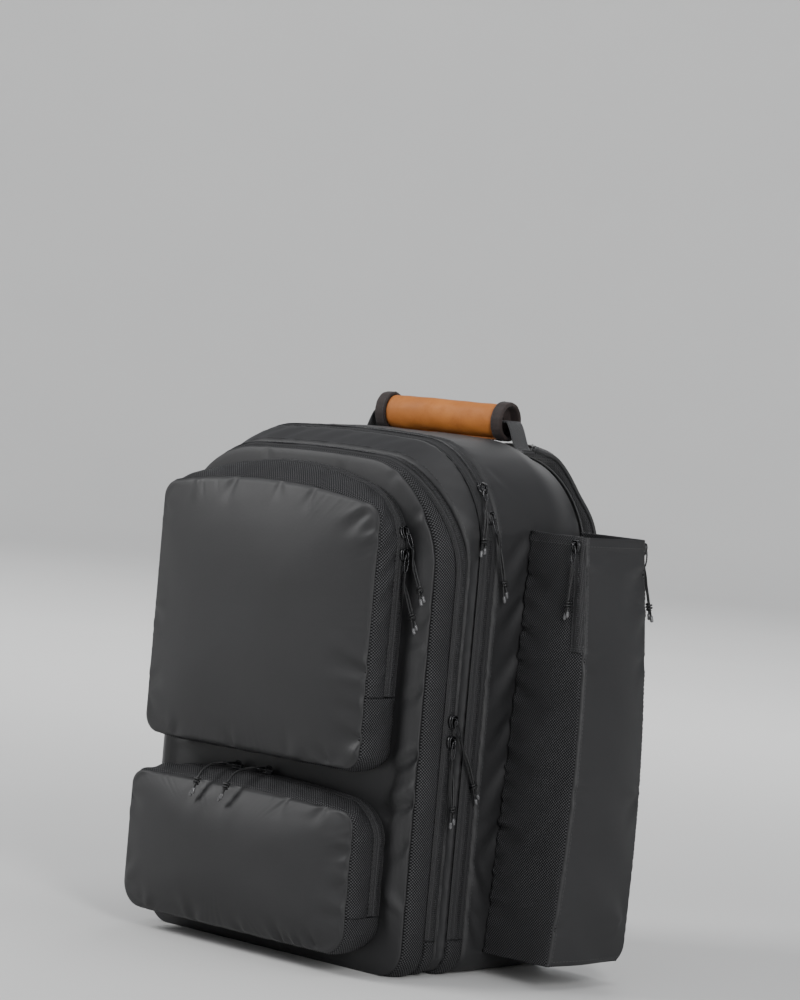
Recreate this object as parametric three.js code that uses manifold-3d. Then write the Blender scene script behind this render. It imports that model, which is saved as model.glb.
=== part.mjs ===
// Baseball bat backpack, standing on its base, in millimetres with +Z up.
// +Y points to the wearer's back, +X to the bat sleeve, and the origin is the middle of the base.
import * as THREE from 'three';
import Module from 'manifold-3d';
import { mergeVertices } from 'three/addons/utils/BufferGeometryUtils.js';

const wasm = await Module();
wasm.setup();

// Cloth and clearances
const clothWall = 2; // coated cloth or coarse nylon with its binding
const tapeWall = 1.6; // zip tape
const seamGap = 0.3; // left between two pieces that are sewn together

// Main body, without its pockets, sleeve and harness
const bodyWidth = 350;
const bodyHeight = 490;
const bodyDepth = 208;
const shoulderRound = 88; // top corners, seen from the front
const baseRound = 26; // bottom corners
const topCrown = 10; // how far the shoulders lie below the middle of the top
const frontY = -bodyDepth / 2;
const backY = bodyDepth / 2;

// Bands that run round the body from the front face to the back, at the side and over the top
const faceRoll = 7; // how far the front face bulges ahead of its own edge
const gussetSide = 28;
const gussetTop = 5;
const frontTape = 13;
const crescentSide = 13;
const crescentTop = 32;
const mainTape = 20;
const zipEndHeight = 34; // seam that ends both long zips above the base

// Upper front pocket
const upperWidth = 283;
const upperHeight = 268;
const upperShift = -3.5; // off the middle of the bag
const upperCrown = 19; // how far its face bulges
const upperArch = 30; // how far the top corners lie below the middle of the top, along its zip
const upperRound = 24;
const upperShoulder = 40; // radius of the top corners, along its zip
const upperFaceDrop = 18; // how far the top of its face lies below the zip
const upperFaceArch = 14;
const upperZipEnd = 66; // seam that ends the zip, above the pocket's own base
// Lower front pocket
const lowerWidth = 293;
const lowerHeight = 142;
const lowerBase = 20;
const lowerShift = -5;
const lowerCrown = 18;
const lowerArch = 10;
const lowerRound = 34;
const lowerFaceDrop = 10;
const lowerFaceArch = 4;
const lowerZipEnd = 34;
const lowerTop = lowerBase + lowerHeight;
// Both pockets
const pocketSpacing = 24; // between them, where the lower pocket's sliders lie
const upperBase = lowerTop + pocketSpacing;
const upperTop = upperBase + upperHeight;
const pocketDepth = 40;
const lowerExtraDepth = 4; // how much further the lower pocket stands out
const pocketTape = 14;
const faceRound = 14; // radius of the top corners of both faces
const gussetBulge = 3.5; // how far a pocket's gusset swells out between its seams

// Bat sleeve on the side
const sleeveHeight = 388;
const sleeveBase = 22;
const sleeveFrontY = 16;
const sleeveForward = 14; // how far its front edge comes forward from the mouth to the base
const sleeveWidth = 84; // along Y at the mouth
const sleeveFlare = 8; // how much wider it is at its base
const sleeveReach = 68; // along X at the mouth
const sleeveReachFlare = 12;
const sleeveBelly = 10; // how far it swells out half way up
const sleeveZipLength = 104;
const sleeveTape = 12;

// Padded back and shoulder straps
const backPadDepth = 18;
const strapWidth = 62;
const strapPad = 12;
const webWidth = 25;
const webThick = 2.4;

// Grab handle
const wrapLength = 142;
const wrapHeight = 36;
const wrapDepth = 29;
const handleWebWidth = 20;
const bindingLength = 12.5;
const bindingProud = 2; // how much thicker the bound ends are than the leather
const handleSpan = 214; // between the far ends of the webbing
const handleGap = 2.6; // between the slack wrap and the top of the bag
const handleY = backY - 22;

// Zip sliders and their pull cords
const sliderLength = 12;
const sliderWidth = 8.5;
const sliderThick = 4.4;
const pullLength = 19;
const pullWidth = 6.4;
const pullWire = 1.5;
const cordDiameter = 4.2;

// Steps of a mesh along each stretch of an outline
const steps = { base: 3, corner: 3, side: 7, shoulder: 5, top: 5 };

const finishes = {
  coated: { color: 0x232426, roughness: 0.55, metalness: 0 },
  nylon: { color: 0x17181a, roughness: 0.8, metalness: 0 },
  tape: { color: 0x141416, roughness: 0.75, metalness: 0 },
  padding: { color: 0x1b1c1e, roughness: 0.9, metalness: 0 },
  webbing: { color: 0x161618, roughness: 0.8, metalness: 0 },
  leather: { color: 0xa85a20, roughness: 0.5, metalness: 0 },
  binding: { color: 0x21191a, roughness: 0.7, metalness: 0 },
  plastic: { color: 0x101012, roughness: 0.4, metalness: 0 },
  metal: { color: 0x1a1a1c, roughness: 0.3, metalness: 0.8 },
  cord: { color: 0x1c1c1e, roughness: 0.6, metalness: 0 },
};

const bag = new THREE.Group();

function add(name, geometry, finish) {
  const mesh = new THREE.Mesh(geometry, new THREE.MeshStandardMaterial(finishes[finish]));
  mesh.name = name;
  bag.add(mesh);
  return mesh;
}

const vec = (x, y, z) => new THREE.Vector3(x, y, z);
const lerp = THREE.MathUtils.lerp;
const clamp01 = (value) => Math.min(1, Math.max(0, value));
const smooth = (value) => THREE.MathUtils.smoothstep(value, 0, 1);

// Meshes

// Makes a geometry of points and triangles, with its faces pointing out
function closedGeometry(points, triangles) {
  let volume = 0;
  for (const [a, b, c] of triangles) {
    volume += points[a].dot(points[b].clone().cross(points[c]));
  }
  const index = triangles.flatMap(([a, b, c]) => (volume > 0 ? [a, b, c] : [a, c, b]));
  const geometry = new THREE.BufferGeometry();
  geometry.setAttribute('position', new THREE.Float32BufferAttribute(points.flatMap((p) => p.toArray()), 3));
  geometry.setIndex(index);
  geometry.computeVertexNormals();
  return geometry;
}

// A solid whose closed sections follow each other. A section lists one face of the wall and then
// the other face backwards, so that its ends close with a strip.
function sweep(sections, joined) {
  const size = sections[0].length;
  const points = sections.flat();
  const triangles = [];
  const quad = (a, b, c, d) => triangles.push([a, b, c], [a, c, d]);
  const spans = joined ? sections.length : sections.length - 1;
  for (let i = 0; i < spans; i += 1) {
    const here = i * size;
    const next = ((i + 1) % sections.length) * size;
    for (let k = 0; k < size; k += 1) {
      const after = (k + 1) % size;
      quad(here + k, here + after, next + after, next + k);
    }
  }
  if (!joined) {
    const last = (sections.length - 1) * size;
    for (let k = 0; k < size / 2 - 1; k += 1) {
      quad(k, size - 1 - k, size - 2 - k, k + 1);
      quad(last + k, last + k + 1, last + size - 2 - k, last + size - 1 - k);
    }
  }
  return closedGeometry(points, triangles);
}

// A sheet with two faces: rings of points that shrink to a middle point, on the front and the back
function dish(frontRings, frontMiddle, backRings, backMiddle) {
  const around = frontRings[0].length;
  const points = [...frontRings.flat(), frontMiddle, ...backRings.flat(), backMiddle];
  const triangles = [];
  const faceSize = frontRings.length * around + 1;
  for (let i = 0; i < around; i += 1) {
    const j = (i + 1) % around;
    for (let k = 0; k < frontRings.length - 1; k += 1) {
      const a = k * around;
      const b = a + around;
      triangles.push([a + i, a + j, b + j], [a + i, b + j, b + i]);
      triangles.push([faceSize + a + j, faceSize + a + i, faceSize + b + i]);
      triangles.push([faceSize + a + j, faceSize + b + i, faceSize + b + j]);
    }
    const inner = (frontRings.length - 1) * around;
    triangles.push([inner + i, inner + j, faceSize - 1]);
    triangles.push([faceSize + inner + j, faceSize + inner + i, 2 * faceSize - 1]);
    triangles.push([j, i, faceSize + i], [j, faceSize + i, faceSize + j]);
  }
  return closedGeometry(points, triangles);
}

// Outlines seen from the front

// The right half of an outline, from the middle of its base to the middle of its top
function halfOutline({ half, base, top, roundBase, roundTop, crown }) {
  const points = [];
  const put = (x, z) => {
    const fall = crown * (x / half) ** 2 * clamp01((z - base) / (top - base));
    points.push({ x, z: z - fall });
  };
  const quarter = Math.PI / 2;
  for (let i = 0; i < steps.base; i += 1) put(((half - roundBase) * i) / steps.base, base);
  for (let i = 0; i <= steps.corner; i += 1) {
    const turn = (quarter * i) / steps.corner;
    put(half - roundBase * (1 - Math.sin(turn)), base + roundBase * (1 - Math.cos(turn)));
  }
  for (let i = 1; i < steps.side; i += 1) {
    put(half, lerp(base + roundBase, top - roundTop, i / steps.side));
  }
  for (let i = 0; i <= steps.shoulder; i += 1) {
    const turn = (quarter * i) / steps.shoulder;
    put(half - roundTop * (1 - Math.cos(turn)), top - roundTop * (1 - Math.sin(turn)));
  }
  for (let i = 1; i <= steps.top; i += 1) put((half - roundTop) * (1 - i / steps.top), top);
  return points;
}

// A whole outline with the outward direction at each point
function outline(shape) {
  const right = halfOutline(shape);
  const left = right.slice(1, -1).reverse().map(({ x, z }) => ({ x: -x, z }));
  const loop = [...right, ...left];
  return loop.map((point, i) => {
    const before = loop[(i + loop.length - 1) % loop.length];
    const after = loop[(i + 1) % loop.length];
    const out = new THREE.Vector2(after.z - before.z, before.x - after.x).normalize();
    return { ...point, out };
  });
}

// The stretch of a loop above a height, taken from the right side over the top to the left,
// and the stretch below it, taken from the left side under the base to the right
const above = (loop, height) => loop.filter((point) => point.z >= height);
function below(loop, height) {
  const right = loop.slice(0, loop.length / 2).filter((point) => point.z <= height);
  const left = loop.slice(loop.length / 2).filter((point) => point.z <= height);
  return [...left, ...right];
}

// Puts a point of a loop at exactly the height where a zip ends, on each side
function withEnds(loop, height) {
  const points = loop.map((point) => ({ ...point }));
  for (const sign of [1, -1]) {
    const side = points.filter((point) => sign * point.x > 0);
    const nearest = side.reduce((a, b) => (Math.abs(a.z - height) < Math.abs(b.z - height) ? a : b));
    nearest.z = height;
  }
  return points;
}

// A wall that runs along Y round an outline. Each station gives a loop and a depth function.
function band(stations, wall, joined) {
  const sections = stations[0].loop.map((_, i) => {
    const outer = stations.map(({ loop, depth }) => vec(loop[i].x, depth(loop[i]), loop[i].z));
    const inner = stations.map(({ loop, depth }) => {
      const { x, z, out } = loop[i];
      return vec(x - out.x * wall, depth(loop[i]), z - out.y * wall);
    });
    return [...outer, ...inner.reverse()];
  });
  return sweep(sections, joined);
}

// Two stations that are one outline moved along Y, with the loop cut by the same rule
function bandBetween(front, rear, wall, cut, joined) {
  const station = (line, shift) => ({
    loop: cut(line.loop),
    depth: (point) => line.depth(point) + shift,
  });
  const half = seamGap / 2;
  return band([station(front, half), station(rear, -half)], wall, joined);
}

// Creases and dents of a cloth face. Across and up are shares of the face's half width and height,
// and reach, spread and depth are shares of its height.
function creaseSum(creases, x, z, { half, base, top }) {
  const height = top - base;
  return creases.reduce((sum, { across, up, turn, reach, spread, depth }) => {
    const dx = x - across * half;
    const dz = z - base - up * height;
    const along = dx * Math.cos(turn) + dz * Math.sin(turn);
    const beside = dz * Math.cos(turn) - dx * Math.sin(turn);
    const fade = Math.exp(-((along / (reach * height)) ** 2) - (beside / (spread * height)) ** 2);
    return sum + depth * height * fade;
  }, 0);
}

// A crowned face of cloth that fills an outline
function face(shape, edgeDepth, crown, fullness, creases) {
  const loop = outline(shape);
  const middle = { x: 0, z: (shape.base + shape.top) / 2 };
  const shares = creases.length > 0 ? [1, 0.92, 0.7, 0.38] : [1, 0.92];
  const at = (point, share) => {
    const x = lerp(middle.x, point.x, share);
    const z = lerp(middle.z, point.z, share);
    const bulge = crown * (1 - share ** fullness);
    const crease = creaseSum(creases, x, z, shape) * clamp01((1 - share) * 8);
    return vec(x, lerp(edgeDepth(middle), edgeDepth(point), share ** 4) - bulge + crease, z);
  };
  const front = shares.map((share) => loop.map((point) => at(point, share)));
  const frontMiddle = at(loop[0], 0);
  const shift = vec(0, clothWall, 0);
  const back = front.map((ring) => ring.map((point) => point.clone().add(shift)));
  return dish(front, frontMiddle, back, frontMiddle.clone().add(shift));
}

// Seam lines round the body

const bodyShape = {
  half: bodyWidth / 2,
  base: 0,
  top: bodyHeight,
  roundBase: baseRound,
  roundTop: shoulderRound,
  crown: topCrown,
};

// Inset and drop are how much narrower and lower a line is than the body, as shares of its size
function bodyLine({ inset, drop }) {
  const half = bodyShape.half - inset * bodyWidth;
  return { ...bodyShape, half, top: bodyHeight * (1 - drop) };
}

// 1 over the top of an outline and 0 down its sides
const topShare = (z) => smooth((z - (bodyHeight - 1.5 * shoulderRound)) / (1.3 * shoulderRound));

const faceShape = bodyLine({ inset: 0.024, drop: 0.05 });

// How far forward the front face lies, from its middle to its rolled edge
function faceDepth({ x, z }) {
  const middle = (faceShape.base + faceShape.top) / 2;
  const across = Math.abs(x / faceShape.half) ** 8;
  const up = Math.abs((z - middle) / (faceShape.top - middle)) ** 10;
  return frontY + faceRoll * (1 - (1 - clamp01(across)) * (1 - clamp01(up)));
}

function seam(share, sideY, topY) {
  const loop = outline(bodyLine(share));
  return { loop, depth: ({ z }) => lerp(sideY, topY, topShare(z)) };
}

const gussetRearY = frontY + faceRoll + gussetSide;
const tapeRearY = gussetRearY + frontTape;
const crescentRearY = tapeRearY + crescentSide;
const mainRearY = crescentRearY + mainTape;
const gussetRearTopY = frontY + faceRoll + gussetTop;
const tapeRearTopY = gussetRearTopY + frontTape;
const crescentRearTopY = tapeRearTopY + crescentTop;
const mainRearTopY = crescentRearTopY + mainTape;

const seams = {
  face: { loop: outline(faceShape), depth: faceDepth },
  gusset: seam({ inset: 0.014, drop: 0.046 }, gussetRearY, gussetRearTopY),
  frontTape: seam({ inset: 0.009, drop: 0.04 }, tapeRearY, tapeRearTopY),
  crescent: seam({ inset: 0.004, drop: 0.006 }, crescentRearY, crescentRearTopY),
  mainTape: seam({ inset: 0, drop: 0 }, mainRearY, mainRearTopY),
};

// Diagonal pulls in the side wall between the main zip and the sleeve: up is a share of the height,
// deep a share of the depth, and depth and spread are shares of the width
const sideFolds = [
  { up: 0.16, deep: 0.12, turn: 1.05, reach: 0.16, spread: 0.028, depth: -0.014 },
  { up: 0.31, deep: 0.1, turn: 1.1, reach: 0.14, spread: 0.026, depth: 0.012 },
  { up: 0.45, deep: 0.14, turn: 1.2, reach: 0.15, spread: 0.03, depth: -0.013 },
  { up: 0.62, deep: 0.12, turn: 1.3, reach: 0.14, spread: 0.03, depth: 0.01 },
];

const foldRearY = sleeveFrontY - sleeveForward - clothWall;

function sideFold(y, z) {
  const clear = smooth((y - mainRearY) / 8) * smooth((foldRearY - y) / 6);
  return sideFolds.reduce((sum, { up, deep, turn, reach, spread, depth }) => {
    const dy = y - mainRearY - deep * bodyDepth;
    const dz = z - up * bodyHeight;
    const along = dy * Math.cos(turn) + dz * Math.sin(turn);
    const beside = dz * Math.cos(turn) - dy * Math.sin(turn);
    const fade = Math.exp(-((along / (reach * bodyWidth)) ** 2) - (beside / (spread * bodyWidth)) ** 2);
    return sum + depth * bodyWidth * fade * clear;
  }, 0);
}

// The body's outline at a depth behind the main zip: it swells a little and narrows to the back
const backInset = 0.02;
const backDrop = 0.026;
function wallShape(y) {
  const share = clamp01((y - mainRearY) / (backY - mainRearY));
  const swell = 0.006 * Math.sin(Math.PI * share);
  const narrowing = smooth((share - 0.55) / 0.45);
  return bodyLine({
    inset: backInset * narrowing - swell,
    drop: backDrop * narrowing - swell * 0.5,
  });
}

// The depths where the wall's sections lie
const foldDepths = [0, 0.5].map((share) => lerp(mainRearY, foldRearY, share));
const rearDepths = [0, 0.4, 0.7, 1].map((share) => lerp(foldRearY, backY, share));
const wallDepths = [...foldDepths, ...rearDepths];

// Half the width of one section of the wall at a height
function sectionHalf(y, z) {
  const points = halfOutline(wallShape(y)).filter((point) => point.x > bodyWidth / 4);
  const upper = points.findIndex((point) => point.z > z);
  const [a, b] = [points[upper - 1], points[upper]];
  return lerp(a.x, b.x, (z - a.z) / (b.z - a.z));
}

// The height of the top of one section of the wall, at a distance from the middle
function sectionTop(y, x) {
  const points = halfOutline(wallShape(y)).filter((point) => point.z > bodyHeight / 2);
  const inner = points.findIndex((point) => point.x <= x);
  const [a, b] = [points[inner - 1], points[inner]];
  return lerp(a.z, b.z, (x - a.x) / (b.x - a.x));
}

// A measure of the wall's sections, taken at a depth between two of them
function betweenSections(depth, measure) {
  const y = Math.min(depth, backY - seamGap);
  const rear = wallDepths.findIndex((station) => station > y);
  const [a, b] = [wallDepths[rear - 1], wallDepths[rear]];
  return lerp(measure(a), measure(b), (y - a) / (b - a));
}

// How far out the side wall is between its rounded corners, where a piece sewn on it starts
const straightTop = bodyHeight - shoulderRound - topCrown;
function wallHalf(depth, height) {
  const z = THREE.MathUtils.clamp(height, baseRound + clothWall, straightTop);
  const halves = [depth - clothWall, depth + clothWall].map((near) => (
    betweenSections(near, (y) => sectionHalf(y, z))
  ));
  return Math.max(...halves) + seamGap;
}

// Body walls

const wallStations = wallDepths.map((y) => {
  const share = (y - mainRearY) / (backY - mainRearY);
  const loop = outline(wallShape(y)).map((point) => {
    const fold = point.x > 0 && point.out.x > 0.9 ? sideFold(y, point.z) : 0;
    return { ...point, x: point.x + fold };
  });
  const gapShift = share === 0 ? seamGap / 2 : 0;
  const topY = lerp(mainRearTopY, backY, share);
  return { loop, depth: ({ z }) => lerp(y, topY, topShare(z)) + gapShift };
});
add('body_wall', band(wallStations, clothWall, true), 'coated');

const cutAbove = (height) => (loop) => above(withEnds(loop, height), height);
const cutBelow = (height) => (loop) => below(withEnds(loop, height - seamGap), height - seamGap);
const whole = (loop) => loop;

add('main_zip', bandBetween(seams.crescent, seams.mainTape, tapeWall, cutAbove(zipEndHeight), false), 'tape');
add('main_zip_base', bandBetween(seams.crescent, seams.mainTape, clothWall, cutBelow(zipEndHeight), false), 'nylon');
add('main_front', bandBetween(seams.frontTape, seams.crescent, clothWall, whole, true), 'coated');
add('front_zip', bandBetween(seams.gusset, seams.frontTape, tapeWall, cutAbove(zipEndHeight), false), 'tape');
add('front_zip_base', bandBetween(seams.gusset, seams.frontTape, clothWall, cutBelow(zipEndHeight), false), 'nylon');
const behindFace = { ...seams.face, depth: (point) => faceDepth(point) + clothWall };
add('front_gusset', bandBetween(behindFace, seams.gusset, clothWall, whole, true), 'nylon');

// The front face rolls over its edge, with slack folds beside and below the upper pocket
const frontFolds = [
  { across: 0.9, up: 0.42, turn: 2.2, reach: 0.07, spread: 0.012, depth: 0.008 },
  { across: 0.86, up: 0.35, turn: 2.3, reach: 0.06, spread: 0.012, depth: -0.006 },
  { across: 0.9, up: 0.12, turn: 1.2, reach: 0.06, spread: 0.012, depth: 0.006 },
];
add('front_face', face(faceShape, faceDepth, 0, 2, frontFolds), 'coated');

// The wall between the two compartments sits inside the crescent's front edge
const dividerInset = clothWall + seamGap;
const dividerShape = {
  ...bodyLine({ inset: 0.009, drop: 0.04 }),
  base: dividerInset,
};
dividerShape.half -= dividerInset;
dividerShape.top -= dividerInset;
const dividerDepth = ({ z }) => seams.frontTape.depth({ z }) + clothWall;
add('divider_panel', face(dividerShape, dividerDepth, 0, 2, []), 'coated');

// Front pockets

const shifted = (loop, shift) => loop.map((point) => ({ ...point, x: point.x + shift }));
const swollen = (loop, bulge) => loop.map((point) => ({
  ...point,
  x: point.x + point.out.x * bulge,
  z: point.z + point.out.y * bulge,
}));

// Each pocket has a crowned face, a coarse gusset and a zip over the top and down both sides, and
// below the seams that end the zip a plain wall that goes under its base. The gusset slopes down
// from the zip to the top of the face.
function pocket(name, { shape, faceTop, shift, crown, zipEnd, faceY, creases }) {
  const loop = shifted(outline(shape), shift);
  const panel = { ...shape, ...faceTop, roundTop: faceRound };
  const panelLoop = shifted(outline(panel), shift);
  const middleLoop = loop.map((point, i) => ({ ...point, z: (point.z + panelLoop[i].z) / 2 }));
  const endHeight = shape.base + zipEnd;
  const [upper, middle, front] = [loop, middleLoop, panelLoop].map(cutAbove(endHeight));
  const [lower, lowerMiddle, lowerFront] = [loop, middleLoop, panelLoop].map(cutBelow(endHeight));
  const behindY = () => faceY + clothWall + seamGap;
  const tapeY = (point) => faceDepth(point) - pocketTape;
  const rearY = (point) => faceDepth(point) - seamGap;
  const middleY = (point) => (faceY + tapeY(point)) / 2;
  const surface = face(panel, () => faceY, crown, 2.6, creases);
  surface.translate(shift, 0, 0);
  add(`${name}_face`, surface, 'coated');
  add(`${name}_gusset`, band([
    { loop: front, depth: behindY },
    { loop: swollen(middle, gussetBulge), depth: middleY },
    { loop: upper, depth: (point) => tapeY(point) - seamGap },
  ], clothWall, false), 'nylon');
  add(`${name}_zip`, band([
    { loop: upper, depth: tapeY },
    { loop: upper, depth: rearY },
  ], tapeWall, false), 'tape');
  add(`${name}_base`, band([
    { loop: lowerFront, depth: behindY },
    { loop: swollen(lowerMiddle, gussetBulge), depth: middleY },
    { loop: lower, depth: rearY },
  ], clothWall, false), 'nylon');
}

const upperShape = {
  half: upperWidth / 2,
  base: upperBase,
  top: upperTop,
  roundBase: upperRound,
  roundTop: upperShoulder,
  crown: upperArch,
};
const lowerShape = {
  half: lowerWidth / 2,
  base: lowerBase,
  top: lowerTop,
  roundBase: lowerRound,
  roundTop: lowerRound,
  crown: lowerArch,
};
const upperFaceY = frontY - pocketDepth;
const lowerFaceY = upperFaceY - lowerExtraDepth;

pocket('upper_pocket', {
  shape: upperShape,
  faceTop: { top: upperTop - upperFaceDrop, crown: upperFaceArch },
  shift: upperShift,
  crown: upperCrown,
  zipEnd: upperZipEnd,
  faceY: upperFaceY,
  creases: [
    { across: 0.8, up: 0.86, turn: -0.7, reach: 0.12, spread: 0.03, depth: 0.012 },
    { across: 0.85, up: 0.4, turn: 0.9, reach: 0.12, spread: 0.03, depth: 0.014 },
    { across: 0.75, up: 0.14, turn: 2.2, reach: 0.14, spread: 0.03, depth: 0.012 },
    { across: -0.5, up: 0.94, turn: 1.3, reach: 0.08, spread: 0.03, depth: 0.01 },
    { across: 0.1, up: 0.96, turn: 1.6, reach: 0.07, spread: 0.025, depth: 0.008 },
  ],
});
pocket('lower_pocket', {
  shape: lowerShape,
  faceTop: { top: lowerTop - lowerFaceDrop, crown: lowerFaceArch },
  shift: lowerShift,
  crown: lowerCrown,
  zipEnd: lowerZipEnd,
  faceY: lowerFaceY,
  creases: [
    { across: -0.35, up: 0.8, turn: 0.9, reach: 0.22, spread: 0.05, depth: 0.02 },
    { across: 0.0, up: 0.78, turn: 0.9, reach: 0.2, spread: 0.05, depth: 0.018 },
    { across: 0.7, up: 0.16, turn: 2.0, reach: 0.2, spread: 0.05, depth: 0.022 },
    { across: -0.84, up: 0.7, turn: 1.3, reach: 0.2, spread: 0.05, depth: 0.02 },
  ],
});

// Bat sleeve

// Up is a share of the sleeve's height from its base to its open mouth
const sleeveZ = (up) => sleeveBase + up * sleeveHeight;
const sleeveReachAt = (up) => sleeveReach + sleeveReachFlare * (1 - up) + sleeveBelly * Math.sin(Math.PI * up);
const sleeveFrontAt = (up) => sleeveFrontY - sleeveForward * (1 - up) ** 1.6;
const sleeveRearAt = (up) => sleeveFrontY + sleeveWidth + sleeveFlare * (1 - up);

// Sideways pulls of the coarse gusset where it is gathered into the side seam: shares as above
const gathers = [
  { up: 0.1, depth: 0.035 },
  { up: 0.22, depth: -0.03 },
  { up: 0.34, depth: 0.04 },
  { up: 0.47, depth: -0.035 },
  { up: 0.6, depth: 0.04 },
  { up: 0.72, depth: -0.045 },
  { up: 0.84, depth: 0.03 },
];
const gatherSpread = 0.035;

// Across runs from the bag's side, 0, to the outer panel, 1
function frontGussetPoint(across, up) {
  const z = sleeveZ(up);
  const inner = wallHalf(sleeveFrontAt(up), z) + seamGap;
  const outer = wallHalf(sleeveFrontY, z) + sleeveReachAt(up) - clothWall - seamGap;
  const fall = (share) => Math.exp(-(((up - share) / gatherSpread) ** 2));
  const gather = gathers.reduce((sum, row) => sum + row.depth * fall(row.up), 0) * sleeveReach;
  const bulge = 5 * Math.sin(Math.PI * across) * Math.sin(Math.PI * clamp01(up * 1.05)) ** 0.5;
  const pulled = gather * Math.sin(Math.PI * across) * (1 - across) * 2;
  return vec(lerp(inner, outer, across), sleeveFrontAt(up) - bulge + pulled, z);
}

function rearGussetPoint(across, up) {
  const z = sleeveZ(up);
  const y = sleeveRearAt(up);
  const inner = wallHalf(Math.min(y, backY), z) + seamGap;
  const outer = wallHalf(sleeveFrontY, z) + sleeveReachAt(up) - clothWall - seamGap;
  return vec(lerp(inner, outer, across), y + 4 * Math.sin(Math.PI * across), z);
}

// Across runs from the front edge, 0, to the rear edge, 1
function sidePanelPoint(across, up) {
  const z = sleeveZ(up);
  const bow = 7 * Math.sin(Math.PI * across) * Math.sin(Math.PI * clamp01(0.15 + 0.8 * up));
  const x = wallHalf(sleeveFrontY, z) + sleeveReachAt(up) + bow;
  return vec(x, lerp(sleeveFrontAt(up), sleeveRearAt(up), across), z);
}

// A sheet of cloth from a function of two shares, thickened along one direction
function sheet(pointAt, thick, acrossRange, upRange, acrossSteps, upSteps) {
  const sections = [];
  for (let j = 0; j <= upSteps; j += 1) {
    const up = lerp(upRange[0], upRange[1], j / upSteps);
    const outer = [];
    for (let i = 0; i <= acrossSteps; i += 1) {
      outer.push(pointAt(lerp(acrossRange[0], acrossRange[1], i / acrossSteps), up));
    }
    const inner = outer.map((point) => point.clone().add(thick)).reverse();
    sections.push([...outer, ...inner]);
  }
  return sweep(sections, false);
}

const full = [0, 1];
add('sleeve_front', sheet(frontGussetPoint, vec(0, clothWall, 0), full, full, 4, 16), 'nylon');
add('sleeve_side', sheet(sidePanelPoint, vec(-clothWall, 0, 0), full, full, 4, 16), 'coated');
add('sleeve_rear', sheet(rearGussetPoint, vec(0, -clothWall, 0), full, full, 4, 8), 'nylon');

// The floor of the sleeve lies inside its three walls and against the bag's side
const floorInset = clothWall + seamGap;
const floorWall = 3;
const floorPoint = (across, along) => {
  const y = lerp(sleeveFrontAt(0) + floorInset, sleeveRearAt(0) - floorInset, along);
  const inner = wallHalf(Math.min(y, backY), sleeveBase + floorWall) + seamGap;
  const outer = wallHalf(sleeveFrontY, sleeveBase) + sleeveReachAt(0) - floorInset;
  return vec(lerp(inner, outer, across), y, sleeveBase);
};
add('sleeve_base', sheet(floorPoint, vec(0, 0, floorWall), full, full, 2, 6), 'nylon');

// Two short zips that open the mouth run down the edges of the outer panel
const zipUp = [1 - sleeveZipLength / sleeveHeight, 1];
const zipAcross = [1 - sleeveTape / sleeveReach, 1];
const offset = (pointAt, shift) => (across, up) => pointAt(across, up).add(shift);
const frontTapePoint = offset(frontGussetPoint, vec(0, -seamGap, 0));
const rearTapePoint = offset(rearGussetPoint, vec(0, seamGap, 0));
add('sleeve_zip_front', sheet(frontTapePoint, vec(0, -tapeWall, 0), zipAcross, zipUp, 2, 4), 'tape');
add('sleeve_zip_rear', sheet(rearTapePoint, vec(0, tapeWall, 0), zipAcross, zipUp, 2, 4), 'tape');

// Padded back

const backShape = wallShape(backY);
const padLoop = outline(backShape);
const padMiddle = { x: 0, z: (backShape.base + backShape.top) / 2 };
const padFaceY = backY + seamGap;
const padRings = (rows) => rows.map(({ share, out }) => padLoop.map(({ x, z }) => (
  vec(lerp(padMiddle.x, x, share), padFaceY + out * backPadDepth, lerp(padMiddle.z, z, share))
)));
// The panel closes the rear of the body wall: a thin bound rim, and the padding inside it
const padRear = padRings([
  { share: 1, out: 0.12 },
  { share: 0.95, out: 0.25 },
  { share: 0.92, out: 0.8 },
  { share: 0.85, out: 1 },
]);
const padFront = padRings([
  { share: 1, out: 0 },
  { share: 0.95, out: 0 },
  { share: 0.92, out: 0 },
  { share: 0.85, out: 0 },
]);
const backMiddleOf = (out) => vec(padMiddle.x, padFaceY + out * backPadDepth, padMiddle.z);
add('back_panel', dish(padFront, backMiddleOf(0), padRear, backMiddleOf(1)), 'padding');

// Straps

// A strap of rounded section along a path. Each station gives the middle, the width and thickness.
function strap(stations, flatWay) {
  const middles = stations.map(({ at }) => at);
  const sections = stations.map(({ at, wide, thick }, i) => {
    const before = middles[Math.max(0, i - 1)];
    const after = middles[Math.min(middles.length - 1, i + 1)];
    const along = after.clone().sub(before).normalize();
    const across = flatWay.clone().addScaledVector(along, -flatWay.dot(along)).normalize();
    const up = across.clone().cross(along);
    const corner = Math.min(0.3 * thick, 0.2 * wide);
    const profile = [
      [-wide / 2, thick / 2 - corner],
      [corner - wide / 2, thick / 2],
      [wide / 2 - corner, thick / 2],
      [wide / 2, thick / 2 - corner],
      [wide / 2, corner - thick / 2],
      [wide / 2 - corner, -thick / 2],
      [corner - wide / 2, -thick / 2],
      [-wide / 2, corner - thick / 2],
    ];
    return profile.map(([a, b]) => at.clone().addScaledVector(across, a).addScaledVector(up, b));
  });
  return sweep(sections, false);
}

// A smooth path through a few chosen points, cut into equal steps
function pathThrough(points, count) {
  return new THREE.CatmullRomCurve3(points).getSpacedPoints(count);
}

const padRearY = padFaceY + backPadDepth;
const strapStartZ = bodyHeight * (1 - backDrop) + strapPad / 2 - 1;
const padEndZ = 0.36 * bodyHeight;
const webEndZ = 0.1 * bodyHeight;

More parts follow.
